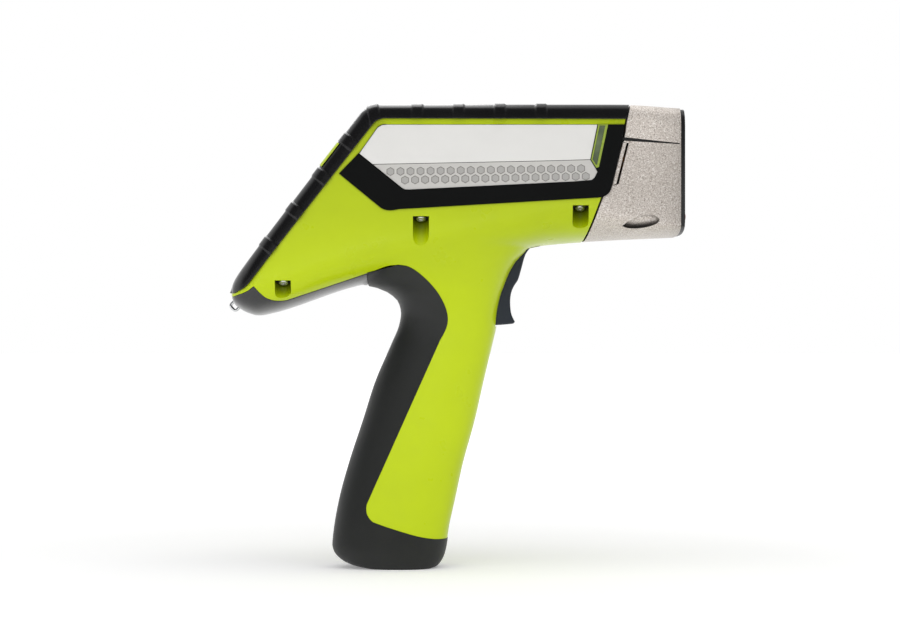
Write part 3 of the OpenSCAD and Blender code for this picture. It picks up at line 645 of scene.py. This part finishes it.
def relief(mat, source, distance, strength=1.0, edge=0.0):
    """A bump from a height, if there is one, on edges rounded by the radius in millimetres."""
    into = socket(mat, "Normal")
    if source is not None:
        bump = node(mat, "ShaderNodeBump", Distance=distance * MM, Strength=strength)
        link(mat, source, bump.inputs["Height"])
        link(mat, bump.outputs["Normal"], into)
        into = bump.inputs["Normal"]
    if edge:
        rounding = node(mat, "ShaderNodeBevel", samples=6, Radius=edge * MM)
        link(mat, rounding.outputs["Normal"], into)


def tint(mat, source, stops):
    """Feeds the base colour from a source between zero and one."""
    link(mat, ramp(mat, source, stops), socket(mat, "Base Color"))


def times(mat, factor):
    """Multiplies what feeds the base colour by a grey."""
    base = socket(mat, "Base Color")
    made = node(mat, "ShaderNodeMix", data_type="RGBA", blend_type="MULTIPLY")
    made.inputs["Factor"].default_value = 1
    link(mat, base.links[0].from_socket, made.inputs[6])
    link(mat, factor, made.inputs[7])
    link(mat, made.outputs[2], base)


def painted_recess_shade(mat, reach, low):
    """Painted shade: darkens the base colour in recesses narrower than the reach in millimetres, by
    ambient occlusion.
    """
    made = node(mat, "ShaderNodeAmbientOcclusion", samples=8, Distance=reach * MM)
    times(mat, ramp(mat, made.outputs["AO"], [(0.25, (low,) * 3), (0.85, (1, 1, 1))]))


def painted_light_along(mat, axis, stops):
    """Painted light and shade: multiplies the base colour by greys given along an axis in
    millimetres.
    """
    axes = node(mat, "ShaderNodeSeparateXYZ")
    link(mat, coordinates(mat), axes.inputs[0])
    low, high = stops[0][0], stops[-1][0]
    span = node(mat, "ShaderNodeMapRange", From_Min=low * MM, From_Max=high * MM)
    link(mat, axes.outputs[axis], span.inputs["Value"])
    times(mat, ramp(mat, span.outputs["Result"], [((at - low) / (high - low), (grey,) * 3)
                                                  for at, grey in stops]))


def srgb(code):
    """Linear colour of a hex code."""
    out = []
    for i in (1, 3, 5):
        c = int(code[i:i + 2], 16) / 255
        out.append(c / 12.92 if c <= 0.04045 else ((c + 0.055) / 1.055) ** 2.4)
    return tuple(out)


def moulded(name, code, roughness, grain=0.02, edge=0.35, spread=0.06, scale=900, **extra):
    """Moulded plastic or rubber: a fine spark-eroded grain, soft mottling and rounded edges."""
    base = srgb(code)
    mat = material(name, base, roughness, **extra)
    where = coordinates(mat)
    dark, light = [c * (1 - spread) for c in base], [min(1, c * (1 + spread)) for c in base]
    tint(mat, noise(mat, 28, 4, 0.6, where), [(NOISE_LOW, dark), (NOISE_HIGH, light)])
    vary(mat, noise(mat, 55, 3, 0.6, where), roughness * 0.88, min(1, roughness * 1.12))
    relief(mat, noise(mat, scale, 2, 0.5, where), grain, 1.0, edge)
    return mat


def printed(name, code, edge=0.1):
    """A printed or foiled face of the label."""
    return moulded(name, code, 0.5, 0.004, edge, 0.02, 2200, metallic=0.15)


def metal(name, code, roughness, metallic=1.0):
    """Bare or coated metal with a fine drawn grain along X."""
    base = srgb(code)
    mat = material(name, base, roughness, metallic)
    where = coordinates(mat)
    stretch = node(mat, "ShaderNodeMapping", Scale=(0.12, 1, 1))
    link(mat, where, stretch.inputs["Vector"])
    grain = noise(mat, 900, 2, 0.5, stretch.outputs["Vector"])
    vary(mat, grain, roughness * 0.8, roughness * 1.25)
    tint(mat, noise(mat, 60, 3, 0.6, where),
         [(NOISE_LOW, [c * 0.9 for c in base]), (NOISE_HIGH, base)])
    relief(mat, grain, 0.01, 0.6, 0.2)
    return mat


def mats():
    """Every look by its name; the columns are colour, roughness, grain, edge and spread."""
    m = {}
    m["lime"] = moulded("lime_plastic", "#C1D604", 0.3, 0.012, 0.4, 0.03, 1400,
                        Specular_IOR_Level=0.32)
    # painted shade: the lime is darker towards the top and in its recesses
    painted_light_along(m["lime"], 2, [(120, 1.0), (160, 1.0), (205, 0.82), (265, 0.8)])
    painted_recess_shade(m["lime"], 9, 0.12)
    m["bumper"] = moulded("bumper_rubber", "#0F0F10", 0.2, 0.015, 0.6, 0.12, 700)
    m["cover"] = moulded("cover_plastic", "#2B2B2E", 0.45, 0.03, 0.3, 0.08, 1100)
    m["tail"] = moulded("tail_plastic", "#202022", 0.24, 0.006, 0.5, 0.08, 1500,
                        Specular_IOR_Level=0.7)
    m["grip"] = moulded("grip_rubber", "#151716", 0.5, 0.05, 0.5, 0.10, 1300,
                        Specular_IOR_Level=0.5)
    m["band"] = moulded("band_plastic", "#0B0C0C", 0.5, 0.02, 0.35, 0.06, 1300,
                        Specular_IOR_Level=0.1)
    m["label"] = printed("label_film", "#E1E0DD", 0.2)
    m["strip"] = printed("label_strip", "#C7C5C1", 0.2)
    m["cell"] = printed("cell_grey", "#ADABA8")
    m["cell_ring"] = printed("cell_ring", "#85837F")
    m["lens_rim"] = moulded("lens_rim", "#93A83A", 0.3, 0.004, 0.2, 0.02, Transmission_Weight=0.1)
    m["panel"] = moulded("panel_plastic", "#2C2C30", 0.5, 0.03, 0.3, 0.06)
    m["key_grey"] = moulded("key_grey", "#A9ABA8", 0.6, 0.02, 0.4, 0.05)
    m["key_red"] = moulded("key_red", "#9A2A26", 0.55, 0.02, 0.4, 0.05)
    m["key_dark"] = moulded("key_dark", "#3A3C40", 0.55, 0.02, 0.3, 0.05)
    m["black"] = moulded("black_rubber", "#171717", 0.6, 0.02, 0.2, 0.08)
    m["switch"] = moulded("switch_black", "#242427", 0.6, 0.02, 0.2, 0.05)
    m["trigger"] = moulded("trigger_plastic", "#17202B", 0.3, 0.01, 0.7, 0.06, 1500)
    m["button"] = moulded("button_brown", "#8C4C46", 0.35, 0.005, 0.2, 0.05)
    m["board"] = moulded("board_green", "#1B5A36", 0.4, 0.02, 0.1, 0.08)
    m["resin"] = moulded("supply_resin", "#CFC9B2", 0.5, 0.02, 0.4, 0.04)
    m["battery"] = moulded("battery_shell", "#33373C", 0.55, 0.03, 0.4, 0.06)
    m["wrap"] = moulded("cell_wrap", "#2F6EA8", 0.35, 0.004, 0.2, 0.04)

    # painted casting with coarse metallic speckle
    m["nose"] = mat = material("nose_paint", srgb("#B9AFA8"), 0.42, 0.3)
    where = coordinates(mat)
    tint(mat, noise(mat, 1450, 2, 0.75, where),
         [(0.3, srgb("#94897F")), (0.44, srgb("#CBC1B8")), (0.56, srgb("#E2D9D1")),
          (0.7, srgb("#FFFDF8"))])
    # painted light and shade: the nose is lighter above its seam, darker below it and towards its
    # front edge, and shaded in its recesses
    painted_light_along(mat, 2, [(195, 0.88), (215, 0.85), (241, 0.88), (244, 1.0), (262, 1.0)])
    painted_light_along(mat, 0, [(120, 1.0), (146, 1.0), (158, 0.9), (164, 0.76)])
    painted_recess_shade(mat, 5, 0.3)
    vary(mat, noise(mat, 900, 2, 0.6, where), 0.3, 0.55)
    relief(mat, noise(mat, 1000, 3, 0.65, where), 0.10, 0.8, 0.5)

    for name, *values in (("bare_aluminium", "#B9BBBC", 0.38),
                          ("plate_black", "#1B1B1D", 0.42, 0.3),
                          ("spring_steel", "#B4B6B8", 0.25),
                          ("chrome_wire", "#D9DBDD", 0.12),
                          ("screw_steel", "#E9E9EA", 0.34),
                          ("contact_gold", "#D7AE56", 0.25),
                          ("tube_copper", "#B98158", 0.34),
                          ("display_steel", "#A5A9AC", 0.35)):
        m[name] = metal(name, *values)

    m["glass"] = mat = material("screen_glass", srgb("#0E1114"), 0.06,
                                Coat_Weight=1.0, Coat_Roughness=0.03)
    vary(mat, noise(mat, 40, 3), 0.05, 0.1)
    relief(mat, None, 0, 0, 0.2)

    m["lens"] = mat = material("lens_green", srgb("#5E6A50"), 0.2,
                               IOR=1.49, Coat_Weight=0.5, Coat_Roughness=0.08)
    vary(mat, noise(mat, 120, 3), 0.16, 0.26)
    tint(mat, noise(mat, 90, 2), [(0.35, srgb("#525E46")), (0.65, srgb("#76835F"))])
    relief(mat, None, 0, 0, 0.3)

    m["film"] = mat = material("film_amber", srgb("#C08A2E"), 0.2, Transmission_Weight=0.3)
    vary(mat, noise(mat, 200, 3), 0.15, 0.3)
    return m


M = mats()

CAD_LOOKS = {
    "lime": ["housing_right", "housing_left"],
    "bumper": ["bumper"],
    "cover": ["top_cover", "battery_door"],
    "tail": ["tail_cover"],
    "grip": ["grip_overmould"],
    "band": ["side_band_right", "side_band_left"],
    "label": ["label_plate_right", "label_plate_left"],
    "lens": ["beacon_lens_right", "beacon_lens_left"],
    "panel": ["control_panel"],
    "glass": ["touch_screen"],
    "display_steel": ["display_module"],
    "key_dark": ["nav_post", "nav_ring"],
    "key_grey": ["select_key", "clear_key"],
    "key_red": ["power_key"],
    "board": ["key_board", "main_board", "processor_board", "beacon_boards"],
    "nose": ["nose_upper", "nose_lower", "nose_clip_right", "nose_clip_left"],
    "black": ["front_gasket"],
    "plate_black": ["front_plate"],
    "bare_aluminium": ["window_frame", "chassis", "collimator", "detector", "heat_sink"],
    "film": ["window_film"],
    "button": ["interlock_button"],
    "spring_steel": ["interlock_spring", "trigger_pin", "trigger_spring"],
    "switch": ["interlock_switch", "trigger_switch", "speaker"],
    "trigger": ["trigger"],
    "tube_copper": ["xray_tube"],
    "resin": ["hv_supply"],
    "battery": ["battery_case"],
    "wrap": ["battery_cells"],
    "contact_gold": ["battery_contacts"],
    "chrome_wire": ["strap_staple"],
    "screw_steel": ["housing_screws", "nose_screws"],
}


def smooth_group(angle):
    """Joins split corners and shades smooth below an edge angle, as a modifier."""
    tree = bpy.data.node_groups.new("smooth_by_angle", "GeometryNodeTree")
    tree.interface.new_socket("Geometry", in_out="INPUT", socket_type="NodeSocketGeometry")
    tree.interface.new_socket("Geometry", in_out="OUTPUT", socket_type="NodeSocketGeometry")
    make = tree.nodes.new
    start, end = make("NodeGroupInput"), make("NodeGroupOutput")
    clean = make("GeometryNodeRemoveAttribute")
    clean.inputs["Name"].default_value = "custom_normal"
    merge = make("GeometryNodeMergeByDistance")
    merge.inputs["Distance"].default_value = 0.002 * MM
    faces = make("GeometryNodeSetShadeSmooth")
    edges = make("GeometryNodeSetShadeSmooth")
    edges.domain = "EDGE"
    edge_angle = make("GeometryNodeInputMeshEdgeAngle")
    compare = make("FunctionNodeCompare")
    compare.data_type = "FLOAT"
    compare.operation = "LESS_EQUAL"
    compare.inputs["B"].default_value = math.radians(angle)
    connect = tree.links.new
    connect(start.outputs[0], clean.inputs["Geometry"])
    connect(clean.outputs["Geometry"], merge.inputs["Geometry"])
    connect(merge.outputs["Geometry"], faces.inputs["Geometry"])
    connect(faces.outputs["Geometry"], edges.inputs["Geometry"])
    connect(edge_angle.outputs["Unsigned Angle"], compare.inputs["A"])
    connect(compare.outputs["Result"], edges.inputs["Shade Smooth"])
    connect(edges.outputs["Geometry"], end.inputs[0])
    return tree


SMOOTH = smooth_group(33)

for look, names in CAD_LOOKS.items():
    for name in names:
        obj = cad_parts[name]
        obj.data.materials.clear()
        obj.data.materials.append(M[look])
        obj.modifiers.new("smooth", "NODES").node_group = SMOOTH

# ------------------------------------------------------------ housing


def at_screws():
    """Places with local z running inwards and up along each screw, local y outwards."""
    return [Matrix.Translation((x, side * y, z)) @ Matrix.Diagonal((1, side, 1, 1))
            @ Matrix.Rotation(SCREW_TILT, 4, "X") for x, y, z in SCREWS for side in (-1, 1)]


def slots(r, low, high, out, tops):
    """U-shaped tools along the screws, closed inwards, open outwards and flat at their tops."""
    half_circle = [math.radians(a) for a in range(0, 181, 6)]
    outline = [(r * math.cos(a), -r * math.sin(a)) for a in half_circle] + [(-r, out), (r, out)]
    made = []
    for k, place in enumerate(at_screws()):
        x, top = SCREWS[k // 2][0], tops[k // 2]
        made.append(meet(prism("slot", outline, low, high, "z", place),
                         block("below", (x - 10, -FAR, top - 60), (x + 10, FAR, top))))
    return made


def battery_block():
    a, b = BATTERY[0] / 2 + CLEARANCE, BATTERY[1] / 2 + CLEARANCE
    return block("bay", (-a, -b, -10), (a, b, BATTERY[2] + BATTERY_LIFT + CLEARANCE), BAY)


def trigger_slot():
    half = TRIGGER_HALF + CLEARANCE
    return block("trigger_slot", (56, -half, 139.4), (86, half, 199.4))


def screw_holes(r, low, high):
    return [prism("hole", round_outline(r), low, high, "z", place) for place in at_screws()]


BAND_SMOOTH = spline(BAND + BAND[:1], 4, (0, 1, 2, 6, 7))
skin_tool = meet(skin_region(), block("slab", (-50, -FAR, -5), (50, FAR, 177)))

housing = whole("housing_shell", 0)
outer_skin = cut(copy_of(skin_tool, "outer_skin"), whole("inside_skin", SKIN))
cut(housing, whole("inside", WALL))
fuse(housing, meet(block("ribs", (-60, -40, 24), (80, 40, 25.6)), grip("grip", WALL - 0.3, WALL)))
for tool in slots(SLOT_R + BOSS_WALL, -26, 10, 12, [p[2] + 3 for p in SCREWS]):
    fuse(housing, meet(tool, body("boss", 1, 0.2)))
cut(housing, bumper_region(), nose_region(-0.3), tail_region(), outer_skin)
cut(housing, *slots(SLOT_R, -40, 0, 20, SLOT_TOPS), battery_block(), trigger_slot(),
    block("door", (-22, -13, -8), (22, 13, 6), ON_DOOR))
for side in (-1, 1):
    cut(housing, region("band", BAND_SMOOTH, *outer(side, -BAND_DEPTH)))
cut(housing, region("lens", LENS), *screw_holes(1.7, -1, 6))
left = copy_of(housing, "housing_left_skin")
meet(left, block("half", (-200, HALF_GAP, -20), (200, 200, 400)))
meet(housing, block("half", (-200, -200, -20), (200, -HALF_GAP, 400)))
housing.name = "housing_right_skin"
forms = [surface(body, 0, 0), surface(grip, 0)]
finish_piece(housing, "lime", ["housing_right"], forms=forms)
finish_piece(left, "lime", ["housing_left"], forms=forms)

# ------------------------------------------------------------ grip rubber and tail cover

grip_skin = cut(meet(whole("grip_skin", -GRIP_PROUD), skin_tool), whole("inside_skin", SKIN))
cut(grip_skin, block("foot", (-60, -40, -10), (80, 40, 0)),
    prism("door", rounded(43.6, 25.6, 4), -8, 15, "z", ON_DOOR),
    block("door", (0, -12.8, -8), (21.8, 12.8, 15), ON_DOOR), trigger_slot())
forms = [surface(body, -GRIP_PROUD, -GRIP_PROUD), surface(grip, -GRIP_PROUD)]
finish_piece(grip_skin, "grip", ["grip_overmould"], forms=forms)

forms = [surface(body, 0, 0.1), surface(grip, 0)]
tail = cut(blend(body("tail_skin", 0, 0.1), forms), body("inside", 3, 2.6))
meet(tail, tail_region(-0.15), block("rear", (-200, -FAR, 100), (SKIN_REAR_X - SEAM, FAR, 300)))
finish_piece(tail, "tail", ["tail_cover"], forms=forms)

# ------------------------------------------------------------ nose

for name, end_z in (("nose_upper", 300), ("nose_lower", 150)):
    half = cut(body(name + "_skin", NOSE_IN, NOSE_IN), body("inside", 3.2, 3, FRONT_X + 5))
    meet(half, nose_region(SEAM + 0.5), region("cut", NOSE_SPLIT + [(190, end_z), (90, end_z)]))
    cut(half, block("front", (FRONT_X - 0.15, -FAR, 150), (FRONT_X + 40, FAR, 350)))
    cut(half, meet(body("gasket", 0.45, 0.45),
                   block("front", (FRONT_X - 1.4, -FAR, 150), (300, FAR, 350))))
    for side in (-1, 1):
        cut(half, region("band", moved(BAND_SMOOTH, SEAM), *outer(side, -3)))
        for shift in (0, CLIP_GAP + 0.4):
            cut(half, region("clip", moved(CLIP, shift), *outer(side, -3.6)))
        cut(half, cut(region("groove", SEAM_LINE, *outer(side, -12)), body("under", 1, 1.0)))
    if name == "nose_lower":
        scoops = region("scoops", spline(SCOOP + SCOOP[:1], 5, (6,)))
        cut(half, cut(scoops, body("under", SCOOP_DEPTH, SCOOP_DEPTH)))
    finish_piece(half, "nose", [name])

# a black strip at the bottom of the groove between the nose's halves, painted shade standing in for
# the shadow under the upper half's edge
seal = meet(region("nose_groove_shade", inset(SEAM_LINE, 0.12)), body("outside", 0.75, 0.75))
cut(seal, body("inside", 1.1, 1.1),
    block("middle", (100, -HALF_WIDTH + 12, 200), (200, HALF_WIDTH - 12, 300)))
finish_piece(seal, "black")

# ------------------------------------------------------------ bumper


def collar_slabs(length):
    """Slabs of one length where the collars go: along the deck, the slant and at the corner."""
    half = length / 2
    slabs = [block("slab", (c - half, -FAR, 240), (c + half, FAR, 300)) for c in TOP_COLLARS]
    slabs += [block("slab", (c - half, -FAR, -40), (c + half, FAR, 40), PANEL)
              for c in SLANT_COLLARS]
    corner = Matrix.Translation((-7.4, 0, 250)) @ Matrix.Rotation(math.radians(-10), 4, "Y")
    slabs.append(block("slab", (-half, -FAR, -20), (half, FAR, 40), corner))
    return join("slabs", slabs)


bumper = body("bumper_skin", 0, -BUMPER_PROUD, BUMPER_X)
for share, length in ((0.45, COLLAR_LENGTH), (1, COLLAR_LENGTH - 1.1)):
    proud = COLLAR_PROUD * share
    collars = body("collars", -0.6 * proud, -BUMPER_PROUD - proud, BUMPER_X)
    fuse(bumper, meet(collars, collar_slabs(length)))
meet(bumper, bumper_region())
panel_outline = rounded(PANEL_HIGH - PANEL_LOW, 2 * PANEL_HALF, 8, 10,
                        ((PANEL_LOW + PANEL_HIGH) / 2, 0))
cut(bumper, body("inside", 6.5, 4.5, 131),
    prism("deck", rounded(126, 2 * PANEL_HALF, 6, 10, (66, 0)), 240, 300, "z"),
    prism("panel", panel_outline, -25, 35, "z", PANEL))
finish_piece(bumper, "bumper", ["bumper"])

inlay = body("edge_inlays", -0.5, -BUMPER_PROUD - 0.25, BUMPER_X)
meet(inlay, block("span", (83.6, -FAR, -1.3), (99.9, FAR, 1.6), PANEL))
cut(inlay, body("inside", 1.4, 0.2, BUMPER_X), block("middle", (-200, -37.5, 0), (200, 37.5, 400)))
finish_piece(inlay, "lime", ())

# ------------------------------------------------------------ side bands, labels, lenses

LABEL_PARTS = (("label_field", "label", LABEL_SPLIT, 300, 0.35),
               ("label_strip", "strip", moved(LABEL_SPLIT, 0, -SEAM), 150, 0.3))

for side, name in ((-1, "right"), (1, "left")):
    band = region("side_band_skin", BAND_SMOOTH, *outer(side, -BAND_DEPTH, 0.7))
    cut(band, region("label", LABEL, *outer(side, -LABEL_DEPTH, 2)),
        region("lens", LENS, *outer(side, -3, 2)))
    finish_piece(band, "band", ["side_band_" + name])

    for part, look, split, end_z, proud in LABEL_PARTS:
        piece = meet(region(part, inset(LABEL, 0.15), *outer(side, -LABEL_DEPTH, proud)),
                     region("limit", split + [(140, end_z), (-60, end_z)]))
        if part == "label_strip":
            span = outer(side, 0.15, 1)
            cut(piece, join("cells", [region("cell", hexagon(c, CELL_R), *span) for c in CELLS]))
        finish_piece(piece, look, ["label_plate_" + name] if part == "label_field" else ())
    rings = [cut(region("ring", hexagon(c, CELL_R), *outer(side, 0.15, 0.24)),
                 region("hole", hexagon(c, CELL_R - 0.5), *outer(side, 0, 1))) for c in CELLS]
    finish_piece(join("cell_rings", rings), "cell_ring")
    discs = [region("disc", hexagon(c, CELL_R - 0.55), *outer(side, 0.15, 0.27)) for c in CELLS]
    finish_piece(join("cell_discs", discs), "cell")

    rim = cut(region("lens_rim", inset(LENS, 0.03), *outer(side, -2.6, 0.9)),
              region("core", LENS_CORE, *outer(side, 0.1, 3)))
    finish_piece(rim, "lens_rim", ["beacon_lens_" + name])
    finish_piece(region("lens_core", inset(LENS_CORE, 0.02), *outer(side, 0.1, 0.6)), "lens", ())

# ------------------------------------------------------------ screws and their seals

seals = slots(SLOT_R - 0.12, -0.6, -0.08, 12, [top - 0.1 for top in SLOT_TOPS])
for seal, hole in zip(seals, screw_holes(1.6, -2, 1)):
    cut(meet(seal, body("inside", 0.4, 0.4)), hole)
    seal.name = "screw_seal"
    finish_piece(seal, "black")

screws = []
for place in at_screws():
    head = prism("head", round_outline(2.7, 48), -2.1, -0.65, "z", place)
    bevel(head, 0.55, 3, 60)
    cut(head, prism("socket", hexagon((0, 0), 1.35), -3, -1.2, "z", place))
    screws.append(fuse(head, prism("shank", round_outline(1.5), -1, 5.5, "z", place)))
finish_piece(join("housing_screw_skin", screws), "screw_steel", ["housing_screws"],
             angle=35)

screws = []
for at in PLATE_SCREWS:
    head = prism("head", round_outline(2.75, 48, at), FRONT_X + 1.15, FRONT_X + 1.95, "x")
    bevel(head, 0.3, 2, 60)
    cut(head, prism("socket", hexagon(at, 1.4), FRONT_X + 1.35, FRONT_X + 4, "x"))
    shank = prism("shank", round_outline(1.5, 32, at), FRONT_X - 8, FRONT_X + 1.25, "x")
    screws.append(fuse(head, shank))
finish_piece(join("nose_screw_skin", screws), "screw_steel", ["nose_screws"],
             angle=35)

# ------------------------------------------------------------ key signs, battery door, trigger


def raised(outline):
    """A sign's outline, a tenth of a millimetre high on the keys."""
    return prism("sign", outline, KEY_TOP, KEY_TOP + 0.1, "z", PANEL)


def stroke(x, y, to_x, to_y):
    return raised([(x, y), (to_x, y), (to_x, to_y), (x, to_y)])


ring = cut(raised(round_outline(2.6, 40, POWER_KEY_AT)),
           prism("hole", round_outline(2.05, 40, POWER_KEY_AT), -3, 3, "z", PANEL),
           block("gap", (NAV_S, 21.6, -3), (NAV_S + 5, 23.6, 3), PANEL))
sign = join("power_sign", [ring, stroke(NAV_S + 0.6, 22.32, NAV_S + 3.2, 22.88)])
finish_piece(sign, "cell", body_name="power_key")
sign = join("clear_sign", [raised(moved(CHEVRON, NAV_S, CLEAR_KEY_Y)),
                           stroke(NAV_S - 0.25, -24.9, NAV_S + 0.25, -22.0)])
finish_piece(sign, "key_dark", body_name="clear_key")

# the battery door's outer face, which completes the foot's rounded form
cover = meet(grip("door_cover", -0.15),
             prism("door", rounded(42.8, 24.8, 3.8), -8, -0.03, "z", ON_DOOR))
cut(cover, block("hinge", (12, -20, -10), (40, 20, 10), ON_DOOR))
finish_piece(cover, "cover", body_name="battery_door")

trigger = prism("trigger_skin", spline(TRIGGER + TRIGGER[:1], 3, (7,)),
                -TRIGGER_HALF, TRIGGER_HALF)
bevel(trigger, 2.4, 5, 40)
cut(trigger, prism("hole", moved(round_outline(1.55, 48), *TRIGGER_PIN), -20, 20))
finish_piece(trigger, "trigger", ["trigger"], "trigger", 35)

# ------------------------------------------------------------ floor

# pale where it is seen or mirrored and fainter far off, with the object's shadow on it
look = bpy.data.materials.new("floor")
look.use_nodes = True
look.node_tree.nodes.clear()
path = node(look, "ShaderNodeLightPath")
seen = node(look, "ShaderNodeMath", operation="MAXIMUM")
link(look, path.outputs["Is Camera Ray"], seen.inputs[0])
link(look, path.outputs["Is Glossy Ray"], seen.inputs[1])
bounce = node(look, "ShaderNodeMath", operation="MAXIMUM")
bounce.inputs[1].default_value = 0.3
link(look, seen.outputs[0], bounce.inputs[0])
reach = node(look, "ShaderNodeVectorMath", operation="LENGTH")
link(look, coordinates(look), reach.inputs[0])
fade = node(look, "ShaderNodeMapRange", From_Min=0.25, From_Max=1.1, To_Min=0.22, To_Max=0.62)
link(look, reach.outputs["Value"], fade.inputs["Value"])
strength = node(look, "ShaderNodeMath", operation="MULTIPLY")
link(look, bounce.outputs[0], strength.inputs[0])
link(look, fade.outputs["Result"], strength.inputs[1])
glow = node(look, "ShaderNodeEmission")
link(look, strength.outputs[0], glow.inputs["Strength"])
both = node(look, "ShaderNodeAddShader")
link(look, node(look, "ShaderNodeBsdfDiffuse", Color=(0.92, 0.92, 0.92, 1)).outputs[0],
     both.inputs[0])
link(look, glow.outputs[0], both.inputs[1])
link(look, both.outputs[0], node(look, "ShaderNodeOutputMaterial").inputs["Surface"])

FLOOR = 9000
corners = [(x * FLOOR, y * FLOOR, 0) for x, y in ((-1, -1), (1, -1), (1, 1), (-1, 1))]
floor = mesh_object("floor", corners, [(0, 1, 2, 3)])
floor.data.materials.append(look)

# ------------------------------------------------------------ world and lamps

# what a shiny face mirrors is dark on the viewer's side and bright behind
world = bpy.data.worlds.new("world")
bpy.context.scene.world = world
world.use_nodes = True
background = world.node_tree.nodes["Background"]
axes = node(world, "ShaderNodeSeparateXYZ")
link(world, node(world, "ShaderNodeTexCoord").outputs["Generated"], axes.inputs[0])
mirrored = node(world, "ShaderNodeMapRange", interpolation_type="SMOOTHSTEP",
                From_Min=-0.4, From_Max=0.2, To_Min=0.1, To_Max=1.0)
link(world, axes.outputs["Y"], mirrored.inputs["Value"])
path = node(world, "ShaderNodeLightPath")
lit = node(world, "ShaderNodeMix", A=0.62)
link(world, path.outputs["Is Glossy Ray"], lit.inputs["Factor"])
link(world, mirrored.outputs["Result"], lit.inputs["B"])
direct = node(world, "ShaderNodeMath", operation="MAXIMUM")
link(world, path.outputs["Is Camera Ray"], direct.inputs[0])
link(world, path.outputs["Is Transmission Ray"], direct.inputs[1])
shown = node(world, "ShaderNodeMix", B=1.0)
link(world, direct.outputs[0], shown.inputs["Factor"])
link(world, lit.outputs["Result"], shown.inputs["A"])
link(world, shown.outputs["Result"], background.inputs["Strength"])
background.inputs["Color"].default_value = (1, 1, 1, 1)


def softbox(name, place, aim, size, power, glossy, diffuse=True):
    """A rectangular lamp that is left out of what glossy or matt faces show, where False."""
    lamp = bpy.data.lights.new(name, "AREA")
    lamp.shape = "RECTANGLE"
    lamp.size, lamp.size_y = size
    lamp.energy = power
    obj = bpy.data.objects.new(name, lamp)
    bpy.context.scene.collection.objects.link(obj)
    obj.location = place
    obj.visible_glossy = glossy
    obj.visible_diffuse = diffuse
    obj.rotation_mode = "QUATERNION"
    obj.rotation_quaternion = (Vector(aim) - Vector(place)).to_track_quat("-Z", "Y")


softbox("top_light", (0.1, -0.35, 1.35), (0.03, 0, 0.16), (1.5, 0.9), 6, False)
softbox("front_light", (-0.3, -1.45, 0.1), (0.03, 0, 0.12), (1.2, 0.7), 8, False)
softbox("crest_light", (-0.27, 0.55, 1.1), (-0.27, -0.04, 0.26), (0.68, 1.3), 10, True, False)

bpy.context.scene.view_settings.view_transform = "Standard"
